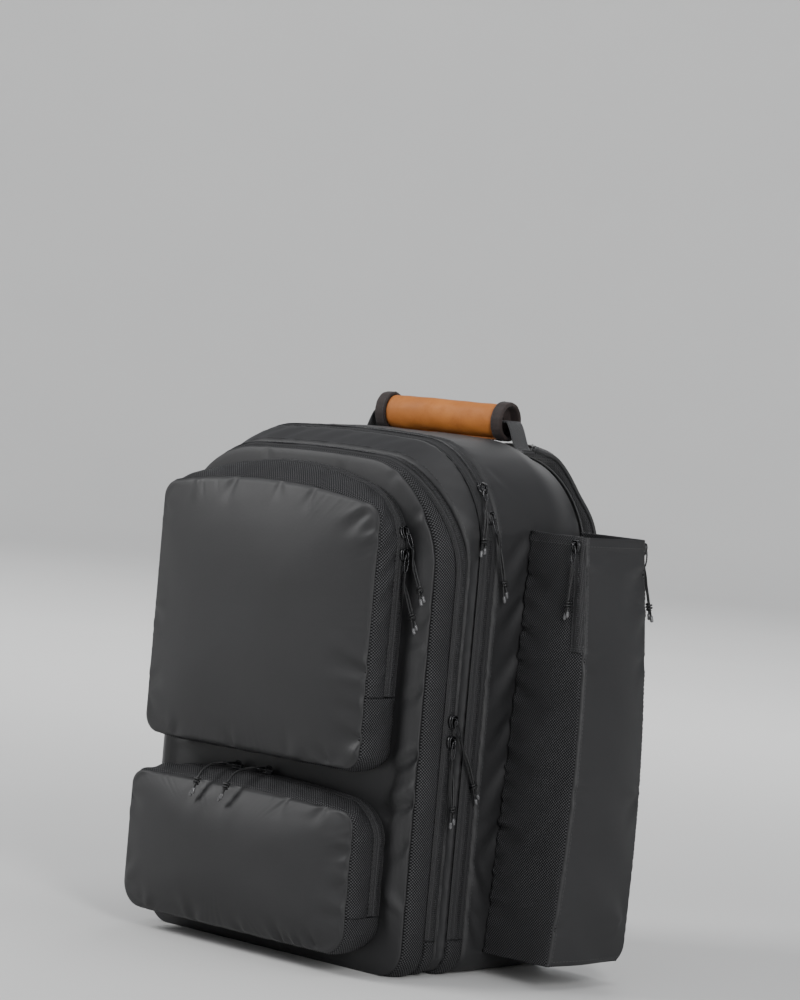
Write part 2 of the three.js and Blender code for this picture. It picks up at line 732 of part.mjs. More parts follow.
function shoulderStrap(side, sideName) {
  const sign = side;
  const at = (x, back, z) => vec(sign * x, padRearY + back, z);
  const route = [
    at(0.17 * bodyWidth, -backPadDepth / 2, strapStartZ),
    at(0.18 * bodyWidth, 0.1 * bodyDepth, strapStartZ - 10),
    at(0.205 * bodyWidth, 0.21 * bodyDepth, strapStartZ - 40),
    at(0.235 * bodyWidth, 0.3 * bodyDepth, 0.82 * bodyHeight),
    at(0.255 * bodyWidth, 0.28 * bodyDepth, 0.68 * bodyHeight),
    at(0.27 * bodyWidth, 0.2 * bodyDepth, 0.52 * bodyHeight),
    at(0.28 * bodyWidth, strapPad, padEndZ),
  ];
  const count = 13;
  const stations = pathThrough(route, count).map((point, i) => {
    const share = i / count;
    const taper = smooth((share - 0.8) / 0.2);
    const wide = lerp(strapWidth, 1.3 * webWidth, taper);
    const thick = lerp(strapPad, 0.5 * strapPad, taper);
    return { at: point, wide, thick };
  });
  add(`shoulder_pad_${sideName}`, strap(stations, vec(1, 0, 0)), 'padding');

  // A ladder-lock buckle below the pad takes the lower webbing
  const padEnd = route[route.length - 1];
  const frameHeight = 26;
  const frameWidth = webWidth + 10;
  const frameThick = 5;
  const bar = 4.5;
  const frame = new THREE.Shape();
  frame.moveTo(-frameWidth / 2, 0);
  frame.lineTo(frameWidth / 2, 0);
  frame.lineTo(frameWidth / 2, -frameHeight);
  frame.lineTo(-frameWidth / 2, -frameHeight);
  frame.closePath();
  const slot = new THREE.Path();
  slot.moveTo(-webWidth / 2 - 1, -bar);
  slot.lineTo(-webWidth / 2 - 1, bar - frameHeight);
  slot.lineTo(webWidth / 2 + 1, bar - frameHeight);
  slot.lineTo(webWidth / 2 + 1, -bar);
  slot.closePath();
  frame.holes.push(slot);
  const lock = new THREE.ExtrudeGeometry(frame, { depth: frameThick, bevelEnabled: false });
  const buckle = add(`strap_buckle_${sideName}`, lock, 'plastic');
  buckle.rotation.x = Math.PI / 2;
  buckle.position.set(padEnd.x, padEnd.y + frameThick / 2, padEnd.z - strapPad / 6);

  // The webbing starts on the buckle's lower bar and runs to the bottom corner of the back
  const webTop = vec(padEnd.x, padEnd.y - frameThick / 2 - webThick / 2 - seamGap, padEnd.z - frameHeight + bar);
  const webRoute = [
    webTop,
    vec(sign * 0.33 * bodyWidth, webTop.y - 2, lerp(webEndZ, webTop.z, 0.45)),
    vec(sign * 0.37 * bodyWidth, padRearY + webThick / 2 + seamGap, webEndZ + 14),
    vec(sign * 0.385 * bodyWidth, padRearY + webThick / 2 + seamGap, webEndZ),
  ];
  const webStations = pathThrough(webRoute, 8).map((point) => ({ at: point, wide: webWidth, thick: webThick }));
  add(`lower_webbing_${sideName}`, strap(webStations, vec(1, 0, 0)), 'webbing');
}
shoulderStrap(1, 'right');
shoulderStrap(-1, 'left');

// Grab handle

// The webbing rises from the top of the bag, runs through the leather wrap and goes down again
const wallTop = (x) => betweenSections(handleY - handleWebWidth / 2, (y) => sectionTop(y, x));
const wrapMiddleZ = wallTop(0) + handleGap + wrapHeight / 2;
const straightHalf = wrapLength / 2 + bindingLength + 5 * seamGap;
const footLength = handleSpan / 2 - straightHalf;
const handleRoute = [-1, -0.8, -0.6, -0.4, -0.2, 0, 0, 0.2, 0.4, 0.6, 0.8, 1].map((share, i) => {
  const x = Math.sign(i - 5.5) * (straightHalf + Math.abs(share) * footLength);
  const rise = smooth(1 - Math.abs(share) / 0.8);
  const restZ = wallTop(Math.abs(x)) + webThick / 2 + seamGap;
  return { at: vec(x, handleY, lerp(restZ, wrapMiddleZ, rise)), wide: handleWebWidth, thick: webThick };
});
add('handle_webbing', strap(handleRoute, vec(0, 1, 0)), 'webbing');

// A padded oval with a slot for the webbing, from one end to the other along X
function ovalWrap(height, depth, length) {
  const oval = new THREE.Shape();
  oval.absellipse(0, 0, height / 2, depth / 2, 0, 2 * Math.PI, false);
  const halfThick = webThick / 2 + seamGap;
  const halfWide = handleWebWidth / 2 + seamGap;
  const slot = new THREE.Path();
  slot.moveTo(-halfThick, -halfWide);
  slot.lineTo(-halfThick, halfWide);
  slot.lineTo(halfThick, halfWide);
  slot.lineTo(halfThick, -halfWide);
  slot.closePath();
  oval.holes.push(slot);
  const wrap = new THREE.ExtrudeGeometry(oval, { depth: length, bevelEnabled: false, curveSegments: 9 });
  return wrap.rotateY(Math.PI / 2);
}

const wrap = add('handle_wrap', ovalWrap(wrapHeight, wrapDepth, wrapLength), 'leather');
wrap.position.set(-wrapLength / 2, handleY, wrapMiddleZ);
for (const [sideName, sign] of [['right', 1], ['left', -1]]) {
  const binding = ovalWrap(wrapHeight + bindingProud, wrapDepth + bindingProud, bindingLength);
  const end = add(`handle_binding_${sideName}`, binding, 'binding');
  const nearEnd = wrapLength / 2 + seamGap;
  end.position.set(sign > 0 ? nearEnd : -nearEnd - bindingLength, handleY, wrapMiddleZ);
}

// Zip sliders

// Turns a geometry into a manifold solid for a join
function solidOf(geometry) {
  const bare = geometry.clone();
  bare.deleteAttribute('normal');
  bare.deleteAttribute('uv');
  const merged = mergeVertices(bare);
  return new wasm.Manifold(new wasm.Mesh({
    numProp: 3,
    vertProperties: merged.attributes.position.array,
    triVerts: new Uint32Array(merged.index.array),
  }));
}

function geometryOf(solid) {
  const { vertProperties, triVerts } = solid.getMesh();
  const geometry = new THREE.BufferGeometry();
  geometry.setAttribute('position', new THREE.BufferAttribute(vertProperties, 3));
  geometry.setIndex(new THREE.BufferAttribute(triVerts, 1));
  geometry.computeVertexNormals();
  return geometry;
}

// A slider lies on its tape: x runs across the tape, y along it and z out of it. Its wire pull
// hangs from a bridge on the slider, turned about z by pullTurn.
function sliderGeometry(pullTurn) {
  const nose = new THREE.Shape([
    new THREE.Vector2(-0.3 * sliderWidth, -sliderLength / 2),
    new THREE.Vector2(0.3 * sliderWidth, -sliderLength / 2),
    new THREE.Vector2(sliderWidth / 2, 0.15 * sliderLength),
    new THREE.Vector2(0.42 * sliderWidth, sliderLength / 2),
    new THREE.Vector2(-0.42 * sliderWidth, sliderLength / 2),
    new THREE.Vector2(-sliderWidth / 2, 0.15 * sliderLength),
  ]);
  const body = new THREE.ExtrudeGeometry(nose, { depth: sliderThick, bevelEnabled: false });
  const bridge = new THREE.BoxGeometry(0.3 * sliderWidth, 0.6 * sliderLength, pullWire + 2);
  bridge.translate(0, 0, sliderThick + pullWire / 2);
  const loop = new THREE.Shape();
  loop.absellipse(0, -0.38 * pullLength, pullWidth / 2, pullLength / 2, 0, 2 * Math.PI, false);
  const eye = new THREE.Path();
  eye.absellipse(0, -0.38 * pullLength, pullWidth / 2 - pullWire, pullLength / 2 - pullWire, 0, 2 * Math.PI, false);
  loop.holes.push(eye);
  const pull = new THREE.ExtrudeGeometry(loop, { depth: pullWire, bevelEnabled: false, curveSegments: 4 });
  pull.translate(0, 0, sliderThick + 0.5);
  pull.rotateZ(pullTurn);
  return geometryOf(solidOf(body).add(solidOf(bridge)).add(solidOf(pull)));
}

// The point of a loop on the right side at a height, with its outward direction
function onRightSide(loop, height) {
  const upper = loop.findIndex((point) => point.z > height);
  const [a, b] = [loop[upper - 1], loop[upper]];
  const share = (height - a.z) / (b.z - a.z);
  const out = a.out.clone().lerp(b.out, share).normalize();
  return { x: lerp(a.x, b.x, share), z: height, out };
}

// Puts a slider on a tape that faces `out`, with `along` the way the tape runs
function addSlider(name, at, out, along, pullTurn) {
  const across = along.clone().cross(out).normalize();
  const turn = new THREE.Matrix4().makeBasis(across, along, out);
  const slider = add(name, sliderGeometry(pullTurn), 'metal');
  slider.quaternion.setFromRotationMatrix(turn);
  slider.position.copy(at).addScaledVector(out, seamGap);
}

// Sliders on the right side of a zip, at heights that are shares of the zip's own outline
function sideSliders(name, loop, depthAt, heights, pullTurns) {
  heights.forEach((height, i) => {
    const point = onRightSide(loop, height);
    const out = vec(point.out.x, 0, point.out.y);
    const along = vec(-point.out.y, 0, point.out.x);
    addSlider(`${name}_slider_${i + 1}`, vec(point.x, depthAt(point), point.z), out, along, pullTurns[i]);
  });
}

const upperLoop = shifted(outline(upperShape), upperShift);
const upperTapeMiddle = (point) => faceDepth(point) - pocketTape / 2;
const upperHeights = [0.799, 0.727].map((share) => upperBase + share * upperHeight);
sideSliders('upper_pocket', upperLoop, upperTapeMiddle, upperHeights, [0.2, -0.1]);

const frontHeights = [0.478, 0.44].map((share) => share * bodyHeight);
const frontTapeMiddle = (point) => (seams.gusset.depth(point) + seams.frontTape.depth(point)) / 2;
sideSliders('front_zip', seams.frontTape.loop, frontTapeMiddle, frontHeights, [0.5, -0.05]);

const mainHeights = [0.905, 0.855].map((share) => share * bodyHeight);
const mainTapeMiddle = (point) => (seams.crescent.depth(point) + seams.mainTape.depth(point)) / 2;
sideSliders('main_zip', seams.mainTape.loop, mainTapeMiddle, mainHeights, [-0.4, 0.15]);

// The lower pocket's sliders meet on the top of its zip, with their pulls forward over its face
[-0.02, -0.16].forEach((share, i) => {
  const x = share * lowerWidth;
  const fall = lowerArch * ((x - lowerShift) / lowerShape.half) ** 2;
  const y = frontY - pocketTape / 2;
  const turn = -Math.PI / 2;
  addSlider(`lower_pocket_slider_${i + 1}`, vec(x, y, lowerTop - fall), vec(0, 0, 1), vec(-1, 0, 0), turn);
});

// The sleeve's sliders stop at the top of their tapes
const sleeveSliderUp = 1 - (0.75 * sliderLength) / sleeveHeight;
const tapeMiddle = 1 - sleeveTape / sleeveReach / 2;
const frontSliderAt = frontTapePoint(tapeMiddle, sleeveSliderUp).add(vec(0, -tapeWall, 0));
addSlider('sleeve_slider_front', frontSliderAt, vec(0, -1, 0), vec(0, 0, 1), 0.05);
const rearSliderAt = rearTapePoint(tapeMiddle, sleeveSliderUp).add(vec(0, tapeWall + 2 * seamGap, 0));
addSlider('sleeve_slider_rear', rearSliderAt, vec(0, 1, 0), vec(0, 0, 1), -0.05);

// Pull cords

// Each cord hangs from its wire pull. Its route is a few points chosen by hand.
const cordRoutes = {
  upper_pocket_cord_1: [
    [147, -105.9, 385.3], [149.4, -107.2, 378], [153, -108.4, 370], [158, -108.8, 360],
    [163, -108.2, 349], [167, -107.6, 338],
  ],
  upper_pocket_cord_2: [
    [144.6, -111.2, 363.4], [145.8, -111.8, 355], [151, -111.8, 344], [156.5, -111, 330], [162.5, -109, 312],
  ],
  front_zip_cord_1: [
    [177.8, -54.1, 218.9], [178.6, -50.8, 211], [180.2, -43, 195], [180.6, -33, 174], [180.6, -26, 160],
  ],
  front_zip_cord_2: [
    [177.8, -63.4, 198.2], [179, -63, 188], [180.2, -61.4, 170], [180.4, -59.6, 153], [180.4, -58, 138],
  ],
  main_zip_cord_1: [
    [173.1, -43.1, 433.2], [176.6, -45.4, 427], [180, -47.8, 417], [181.6, -49.8, 402], [182.2, -51.5, 384],
  ],
  main_zip_cord_2: [
    [181.6, -32.6, 404.2], [183, -31.4, 397], [183.6, -27.6, 384], [183.8, -22, 366], [183.8, -16, 344],
  ],
  lower_pocket_cord_1: [
    [-5.9, -128.3, 167.9], [-6.2, -136, 168], [-7.4, -146, 167], [-9.4, -154, 161.6],
    [-11.6, -159, 152], [-14.4, -164, 137],
  ],
  lower_pocket_cord_2: [
    [-46.9, -128.3, 167.1], [-47.2, -136, 167.2], [-48.2, -146, 166.2], [-49.8, -153.8, 160.6],
    [-51.4, -158.6, 151], [-53, -163.2, 136],
  ],
  sleeve_cord_front: [
    [238.6, 8.1, 383.6], [238.4, 7.9, 374], [237.6, 7.8, 362], [236.8, 7.9, 348], [236, 8, 334],
  ],
  sleeve_cord_rear: [
    [237.8, 109.7, 383.6], [240, 110.6, 373], [243.4, 111.2, 361], [247, 111.4, 347.5], [250, 111.5, 334.5],
  ],
};
const cordSteps = 6;
const cordSection = new THREE.Shape();
cordSection.absellipse(0, 0, cordDiameter / 2, cordDiameter / 2, 0, 2 * Math.PI, false);
for (const [name, route] of Object.entries(cordRoutes)) {
  const path = new THREE.CatmullRomCurve3(route.map(([x, y, z]) => vec(x, y, z)));
  const settings = { steps: cordSteps, curveSegments: 4, bevelEnabled: false, extrudePath: path };
  add(name, new THREE.ExtrudeGeometry(cordSection, settings), 'cord');
}

export default bag;
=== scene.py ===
# Baseball bat backpack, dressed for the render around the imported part.
# Shapes are worked out in millimetres and turned into metres when a mesh is made.
import math

import bpy
import numpy as np
from mathutils import Matrix


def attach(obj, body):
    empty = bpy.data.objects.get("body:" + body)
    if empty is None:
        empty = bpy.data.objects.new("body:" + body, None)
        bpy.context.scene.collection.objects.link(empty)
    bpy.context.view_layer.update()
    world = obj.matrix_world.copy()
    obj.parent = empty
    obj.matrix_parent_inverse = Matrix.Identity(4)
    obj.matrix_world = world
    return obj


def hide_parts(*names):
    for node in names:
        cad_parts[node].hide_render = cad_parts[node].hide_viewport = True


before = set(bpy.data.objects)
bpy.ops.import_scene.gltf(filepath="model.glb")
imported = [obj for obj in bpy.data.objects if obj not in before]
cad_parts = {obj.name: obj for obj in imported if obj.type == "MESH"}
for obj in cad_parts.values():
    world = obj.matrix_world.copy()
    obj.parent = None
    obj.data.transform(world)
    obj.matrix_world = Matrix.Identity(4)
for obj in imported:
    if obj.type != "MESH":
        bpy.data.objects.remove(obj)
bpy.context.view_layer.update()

metre = 0.001  # one millimetre in metres


# camera

camera = {
    "azimuth": 43.452,
    "elevation": 1.918,
    "roll": 5.030,
    "lens": 125.28,
    "distance": 3274.6,
    "target": (25.44, 0, 424.38),
}


def placeCamera(c):
    # stands back from the target along the line of sight and is turned by the roll about it
    turn, rise, roll = (math.radians(c[k]) for k in ("azimuth", "elevation", "roll"))
    sight = np.array([-math.sin(turn) * math.cos(rise), math.cos(turn) * math.cos(rise), -math.sin(rise)])
    level = np.array([math.cos(turn), math.sin(turn), 0])
    over = np.cross(level, sight)
    right = math.cos(roll) * level + math.sin(roll) * over
    up = math.cos(roll) * over - math.sin(roll) * level
    place = (np.array(c["target"]) - c["distance"] * sight) * metre
    data = bpy.data.cameras.new("camera")
    data.lens = c["lens"]
    data.sensor_width = 36
    data.clip_end = 100
    eye = bpy.data.objects.new("camera", data)
    bpy.context.scene.collection.objects.link(eye)
    turned = np.eye(4)
    turned[:3, 0], turned[:3, 1], turned[:3, 2], turned[:3, 3] = right, up, -sight, place
    eye.matrix_world = Matrix(turned.tolist())
    bpy.context.scene.camera = eye


placeCamera(camera)
print("camera placed")


# meshes from grids of points

def addMesh(name, points, faces, corners=None, uv=None, edge=None):
    # points in millimetres; corners gives for each face corner its row in the uv table
    mesh = bpy.data.meshes.new(name)
    mesh.from_pydata((np.asarray(points) * metre).tolist(), [], faces)
    if uv is not None:
        layer = mesh.uv_layers.new(name="UVMap")
        layer.data.foreach_set("uv", (uv[corners] * metre).astype(np.float32).ravel())
    if edge is not None:
        layer = mesh.attributes.new("edge", "FLOAT", "POINT")
        layer.data.foreach_set("value", np.asarray(edge, np.float32).ravel())
    mesh.validate()
    mesh.shade_smooth()
    piece = bpy.data.objects.new(name, mesh)
    bpy.context.scene.collection.objects.link(piece)
    return piece


def facing(points, faces, outward):
    # sum over the faces of normal times the way out: negative if the faces point in
    a, b, c, d = (points[faces[:, k]] for k in range(4))
    normal = np.cross(c - a, d - b)
    middle = (a + b + c + d) / 4
    way = middle - points.mean(0) if outward is None else np.asarray(outward, float)
    return (normal * way).sum()


def gridPiece(name, grid, material, uv=None, closeU=False, closeV=False, ends=False, thick=0, outward=None,
              edge=None, replaces=(), slot=None):
    # grid[i, j] is a point of the surface; each face joins point (i, j) to its next ones along i and j
    nu, nv = grid.shape[:2]
    i, j = np.meshgrid(np.arange(nu if closeU else nu - 1), np.arange(nv if closeV else nv - 1),
                       indexing="ij")
    i, j = i.ravel(), j.ravel()
    around = [(i, j), (i + 1, j), (i + 1, j + 1), (i, j + 1)]
    faces = np.stack([(a % nu) * nv + b % nv for a, b in around], 1)
    columns = nv + 1 if closeV else nv
    corners = np.stack([a * columns + b for a, b in around], 1)
    points = grid.reshape(-1, 3)
    inward = facing(points, faces, outward) < 0
    if inward:
        faces, corners = faces[:, ::-1], corners[:, ::-1]
    faces = faces.tolist()
    if ends:  # a fan closes each end of a tube
        points = np.concatenate([points, [grid[0].mean(0), grid[-1].mean(0)]])
        ring = np.arange(nv)
        following = (ring + 1) % nv
        first = np.stack([following, ring, ring * 0 + nu * nv], 1)
        last = np.stack([ring, following, ring * 0 + nu * nv + 1], 1) + [(nu - 1) * nv, (nu - 1) * nv, 0]
        if inward:
            first, last = first[:, ::-1], last[:, ::-1]
        faces = faces + first.tolist() + last.tolist()
    table = None
    flat = None
    if uv is not None:
        table = uv.reshape(-1, 2)
        flat = corners.ravel()
        if ends:
            flat = np.concatenate([flat, np.zeros(6 * nv, int)])
    if edge is not None:
        edge = np.concatenate([edge.ravel(), np.zeros(2)]) if ends else edge.ravel()
    piece = addMesh(name, points, faces, flat, table, edge)
    return finishPiece(piece, material, thick, replaces)


def finishPiece(piece, material, thick=0, replaces=(), levels=0):
    if not isinstance(material, (list, tuple)):
        material = [material]
    for one in material:
        piece.data.materials.append(materials[one])
    if thick:
        wall = piece.modifiers.new("wall", "SOLIDIFY")
        wall.thickness = thick * metre
        wall.offset = -1
    if levels:
        finer = piece.modifiers.new("finer", "SUBSURF")
        finer.levels = finer.render_levels = levels
    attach(piece, "root")
    if replaces:
        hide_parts(*([replaces] if isinstance(replaces, str) else replaces))
    return piece


def unit(v):
    return v / np.maximum(np.linalg.norm(v, axis=-1, keepdims=True), 1e-9)


def smooth(t):
    t = np.clip(t, 0, 1)
    return t * t * (3 - 2 * t)


def bell(t):
    return np.exp(-t * t)


def along(path):
    # distance along a path at each of its points
    return np.concatenate([[0], np.cumsum(np.linalg.norm(np.diff(path, axis=0), axis=1))])


def even(path, count):
    # the path cut again into count points at equal distances
    s = along(path)
    want = np.linspace(0, s[-1], count)
    return np.stack([np.interp(want, s, path[:, k]) for k in range(path.shape[1])], 1)


def spline(points, count):
    # Catmull-Rom curve through the points, with equal steps
    p = np.asarray(points, float)
    p = np.concatenate([[2 * p[0] - p[1]], p, [2 * p[-1] - p[-2]]])
    t = np.linspace(0, 1, 40, endpoint=False)[:, None]
    parts = [
        0.5 * (2 * b + (c - a) * t + (2 * a - 5 * b + 4 * c - d) * t ** 2 + (3 * b - a - 3 * c + d) * t ** 3)
        for a, b, c, d in zip(p[:-3], p[1:-2], p[2:-1], p[3:])
    ]
    return even(np.concatenate(parts + [p[-2:-1]]), count)


def tubeGrid(path, radius, sides, side, squash=1.0):
    # circle of the radius carried along the path; side is a direction that never lies along it
    path = np.asarray(path, float)
    ahead = unit(np.gradient(path, axis=0))
    side = np.broadcast_to(np.asarray(side, float), path.shape)
    first = unit(side - (side * ahead).sum(1, keepdims=True) * ahead)
    second = np.cross(ahead, first)
    turn = np.linspace(0, 2 * np.pi, sides, endpoint=False)
    radius = np.broadcast_to(np.asarray(radius, float), (len(path),))[:, None, None]
    ring = np.cos(turn)[None, :, None] * first[:, None]
    ring = ring + np.sin(turn)[None, :, None] * second[:, None] * squash
    return path[:, None] + radius * ring


def tubeUv(path, radius, sides):
    # u runs along the tube and v round it, both in millimetres
    u, v = np.meshgrid(along(path), np.linspace(0, 2 * np.pi * radius, sides + 1), indexing="ij")
    return np.stack([u, v], -1)


def ripple(s, size, seed):
    # sum of five waves of about that length along s, between about -1 and 1
    rng = np.random.default_rng(seed)
    waves = rng.uniform(0.65, 1.5, 5) * 2 * np.pi / size
    phases = rng.uniform(0, 2 * np.pi, 5)
    return np.sin(np.asarray(s)[..., None] * waves + phases).sum(-1) / 3


def drift(points, size, seed):
    # the same in space: plane waves in random directions
    rng = np.random.default_rng(seed)
    ways = unit(rng.normal(size=(6, 3))) * rng.uniform(0.7, 1.5, (6, 1)) * 2 * np.pi / size
    return np.sin(points @ ways.T + rng.uniform(0, 2 * np.pi, 6)).sum(-1) / 3


# materials

def nodeGroup(name, inputs, outputs):
    group = bpy.data.node_groups.new(name, "ShaderNodeTree")
    for label, kind, value in inputs:
        made = group.interface.new_socket(label, in_out="INPUT", socket_type="NodeSocket" + kind)
        if value is not None:
            made.default_value = value
    for label, kind in outputs:
        group.interface.new_socket(label, in_out="OUTPUT", socket_type="NodeSocket" + kind)
    return group, group.nodes.new("NodeGroupInput"), group.nodes.new("NodeGroupOutput")


def feed(tree, socket, value):
    if isinstance(value, bpy.types.NodeSocket):
        tree.links.new(value, socket)
    elif value is not None:
        socket.default_value = value


def calc(tree, operation, a, b=None):
    made = tree.nodes.new("ShaderNodeMath")
    made.operation = operation
    for socket, value in zip(made.inputs, (a, b)):
        feed(tree, socket, value)
    return made.outputs[0]


def remap(tree, value, low, high, toLow, toHigh):
    made = tree.nodes.new("ShaderNodeMapRange")
    for socket, number in zip(made.inputs, (value, low, high, toLow, toHigh)):
        feed(tree, socket, number)
    return made.outputs[0]


def noise(tree, vector, scale, detail=3.0, roughness=0.55):
    made = tree.nodes.new("ShaderNodeTexNoise")
    feed(tree, made.inputs["Vector"], vector)
    made.inputs["Scale"].default_value = scale
    made.inputs["Detail"].default_value = detail
    made.inputs["Roughness"].default_value = roughness
    return made.outputs["Fac"]


def blendColour(tree, share, a, b):
    made = tree.nodes.new("ShaderNodeMix")
    made.data_type = "RGBA"
    feed(tree, made.inputs[0], share)
    feed(tree, made.inputs[6], a)
    feed(tree, made.inputs[7], b)
    return made.outputs[2]


def splitVector(tree, vector):
    made = tree.nodes.new("ShaderNodeSeparateXYZ")
    tree.links.new(vector, made.inputs[0])
    return made.outputs


def wave(tree, value, size):
    # sine of the value, one turn for each size
    return calc(tree, "SINE", calc(tree, "MULTIPLY", value, 2 * math.pi / size))


def buildWeave():
    # crossed threads: the product of two sines of u+v and u-v gives diamonds that stand up by turns
    tree, enter, leave = nodeGroup(
        "crossWeave",
        [("Vector", "Vector", None), ("Pitch", "Float", 0.0022)],
        [("Height", "Float"), ("Gap", "Float")],
    )
    x, y = splitVector(tree, enter.outputs["Vector"])[:2]
    turns = calc(tree, "DIVIDE", math.pi, enter.outputs["Pitch"])
    first = calc(tree, "SINE", calc(tree, "MULTIPLY", calc(tree, "ADD", x, y), turns))
    second = calc(tree, "SINE", calc(tree, "MULTIPLY", calc(tree, "SUBTRACT", x, y), turns))
    product = calc(tree, "MULTIPLY", first, second)
    over = calc(tree, "ABSOLUTE", product)
    plies = calc(tree, "MULTIPLY",
                 calc(tree, "SINE", calc(tree, "MULTIPLY", x, calc(tree, "MULTIPLY", turns, 8))), 0.1)
    height = calc(tree, "ADD", calc(tree, "MULTIPLY", calc(tree, "POWER", over, 0.6), 0.7),
                  calc(tree, "MULTIPLY", product, 0.3))
    tree.links.new(calc(tree, "ADD", height, plies), leave.inputs["Height"])
    # Gap is 1 between the threads; the nylon uses it for roughness and for a painted shade in its colour
    tree.links.new(remap(tree, over, 0.2, 0.55, 1.0, 0.0), leave.inputs["Gap"])
    return tree


def buildCloud():
    # slow unevenness of colour and a little dust: noise at two sizes
    tree, enter, leave = nodeGroup(
        "clothCloud",
        [("Vector", "Vector", None), ("Size", "Float", 9.0)],
        [("Wide", "Float"), ("Speck", "Float")],
    )
    broad = tree.nodes.new("ShaderNodeTexNoise")
    tree.links.new(enter.outputs["Vector"], broad.inputs["Vector"])
    tree.links.new(enter.outputs["Size"], broad.inputs["Scale"])
    broad.inputs["Detail"].default_value = 4
    tree.links.new(remap(tree, broad.outputs["Fac"], 0.3, 0.7, 0.0, 1.0), leave.inputs["Wide"])
    speck = noise(tree, enter.outputs["Vector"], 900.0, 2.0)
    tree.links.new(remap(tree, speck, 0.66, 0.74, 0.0, 1.0), leave.inputs["Speck"])
    return tree


def buildSeamWear():
    # 1 at a seam, fading over the given width: the edge attribute is the distance to the nearest seam
    tree, enter, leave = nodeGroup("seamWear", [("Width", "Float", 4.0), ("Vector", "Vector", None)],
                                   [("Mask", "Float")])
    edge = tree.nodes.new("ShaderNodeAttribute")
    edge.attribute_name = "edge"
    fade = calc(tree, "SUBTRACT", 1.0, calc(tree, "DIVIDE", edge.outputs["Fac"], enter.outputs["Width"]))
    fade = calc(tree, "MAXIMUM", fade, 0.0)
    broken = remap(tree, noise(tree, enter.outputs["Vector"], 160.0, 4.0), 0.35, 0.65, 0.25, 1.0)
    tree.links.new(calc(tree, "MULTIPLY", fade, broken), leave.inputs["Mask"])
    return tree


groups = {"weave": buildWeave(), "cloud": buildCloud(), "wear": buildSeamWear()}
materials = {}


def startMaterial(name, colour, roughness, **sockets):
    material = bpy.data.materials.new(name)
    material.use_nodes = True
    tree = material.node_tree
    shader = tree.nodes["Principled BSDF"]
    feed(tree, shader.inputs["Base Color"], colour)
    feed(tree, shader.inputs["Roughness"], roughness)
    for label, value in sockets.items():
        shader.inputs[label.replace("_", " ")].default_value = value
    materials[name] = material
    place = tree.nodes.new("ShaderNodeTexCoord")
    return tree, shader, place


def useGroup(tree, name, **values):
    made = tree.nodes.new("ShaderNodeGroup")
    made.node_tree = groups[name]
    for label, value in values.items():
        feed(tree, made.inputs[label], value)
    return made.outputs


def bump(tree, shader, height, distance, strength=1.0):
    made = tree.nodes.new("ShaderNodeBump")
    made.inputs["Distance"].default_value = distance
    made.inputs["Strength"].default_value = strength
    tree.links.new(height, made.inputs["Height"])
    tree.links.new(made.outputs["Normal"], shader.inputs["Normal"])


finish = {
    "coated": {"dark": (0.0125, 0.0125, 0.0132, 1), "light": (0.018, 0.018, 0.019, 1), "roughness": 0.56},
    # nylon: light is a painted highlight on the thread tops and dark a painted shade in the gaps between them
    "nylon": {"dark": (0.0006, 0.0006, 0.0007, 1), "light": (0.060, 0.060, 0.063, 1), "pitch": 0.0028},
    # tape: light is a painted highlight on the rib tops and dark a painted shade between the ribs
    "tape": {"dark": (0.002, 0.002, 0.0022, 1), "light": (0.040, 0.040, 0.042, 1), "rib": 0.0018},
    "leather": {"dark": (0.26, 0.075, 0.012, 1), "light": (0.45, 0.155, 0.030, 1)},
}


def coatedMaterial(f):
    # fine grain of two noises in the bump, slow cloud in colour and roughness
    tree, shader, place = startMaterial("coated", f["dark"], f["roughness"], Specular_IOR_Level=0.36)
    spot = place.outputs["Object"]
    cloud = useGroup(tree, "cloud", Vector=spot, Size=7.0)
    wear = useGroup(tree, "wear", Vector=spot, Width=5.0)
    base = blendColour(tree, cloud["Wide"], f["dark"], f["light"])
    base = blendColour(tree, calc(tree, "MULTIPLY", wear["Mask"], 0.35), base, (0.024, 0.024, 0.025, 1))
    tree.links.new(base, shader.inputs["Base Color"])
    rough = remap(tree, cloud["Wide"], 0.0, 1.0, f["roughness"] - 0.05, f["roughness"] + 0.06)
    tree.links.new(rough, shader.inputs["Roughness"])
    fine = noise(tree, spot, 1500.0, 2.0)
    grain = noise(tree, spot, 420.0, 3.0)
    bump(tree, shader, calc(tree, "ADD", calc(tree, "MULTIPLY", fine, 0.5), grain), 0.00012, 0.6)


def nylonMaterial(f):
    tree, shader, place = startMaterial("nylon", f["dark"], 0.45, Specular_IOR_Level=0.12)
    weave = useGroup(tree, "weave", Vector=place.outputs["UV"], Pitch=f["pitch"])
    cloud = useGroup(tree, "cloud", Vector=place.outputs["Object"], Size=14.0)
    # painted highlight and shade: the thread tops get the light colour and the gaps between them the
    # near-black one
    base = blendColour(tree, weave["Gap"], f["light"], f["dark"])
    base = blendColour(tree, calc(tree, "MULTIPLY", cloud["Wide"], 0.25), base, f["dark"])
    tree.links.new(base, shader.inputs["Base Color"])
    tree.links.new(remap(tree, weave["Gap"], 0.0, 1.0, 0.38, 0.8), shader.inputs["Roughness"])
    bump(tree, shader, weave["Height"], 0.0006, 0.9)


def tapeMaterial(f):
    # herringbone: the ribs run along u and lean one way and the other across v
    tree, shader, place = startMaterial("tape", f["dark"], 0.6, Specular_IOR_Level=0.25)
    u, v = splitVector(tree, place.outputs["UV"])[:2]
    lean = calc(tree, "PINGPONG", v, 0.0016)
    rib = wave(tree, calc(tree, "ADD", u, lean), f["rib"])
    line = wave(tree, v, 0.0016)
    height = calc(tree, "ADD", calc(tree, "MULTIPLY", rib, 0.6), calc(tree, "MULTIPLY", line, 0.4))
    # painted highlight and shade: the colour follows the rib height, light on the tops and dark between them
    base = blendColour(tree, remap(tree, height, -1.0, 1.0, 0.0, 1.0), f["dark"], f["light"])
    tree.links.new(base, shader.inputs["Base Color"])
    bump(tree, shader, height, 0.00025, 0.8)


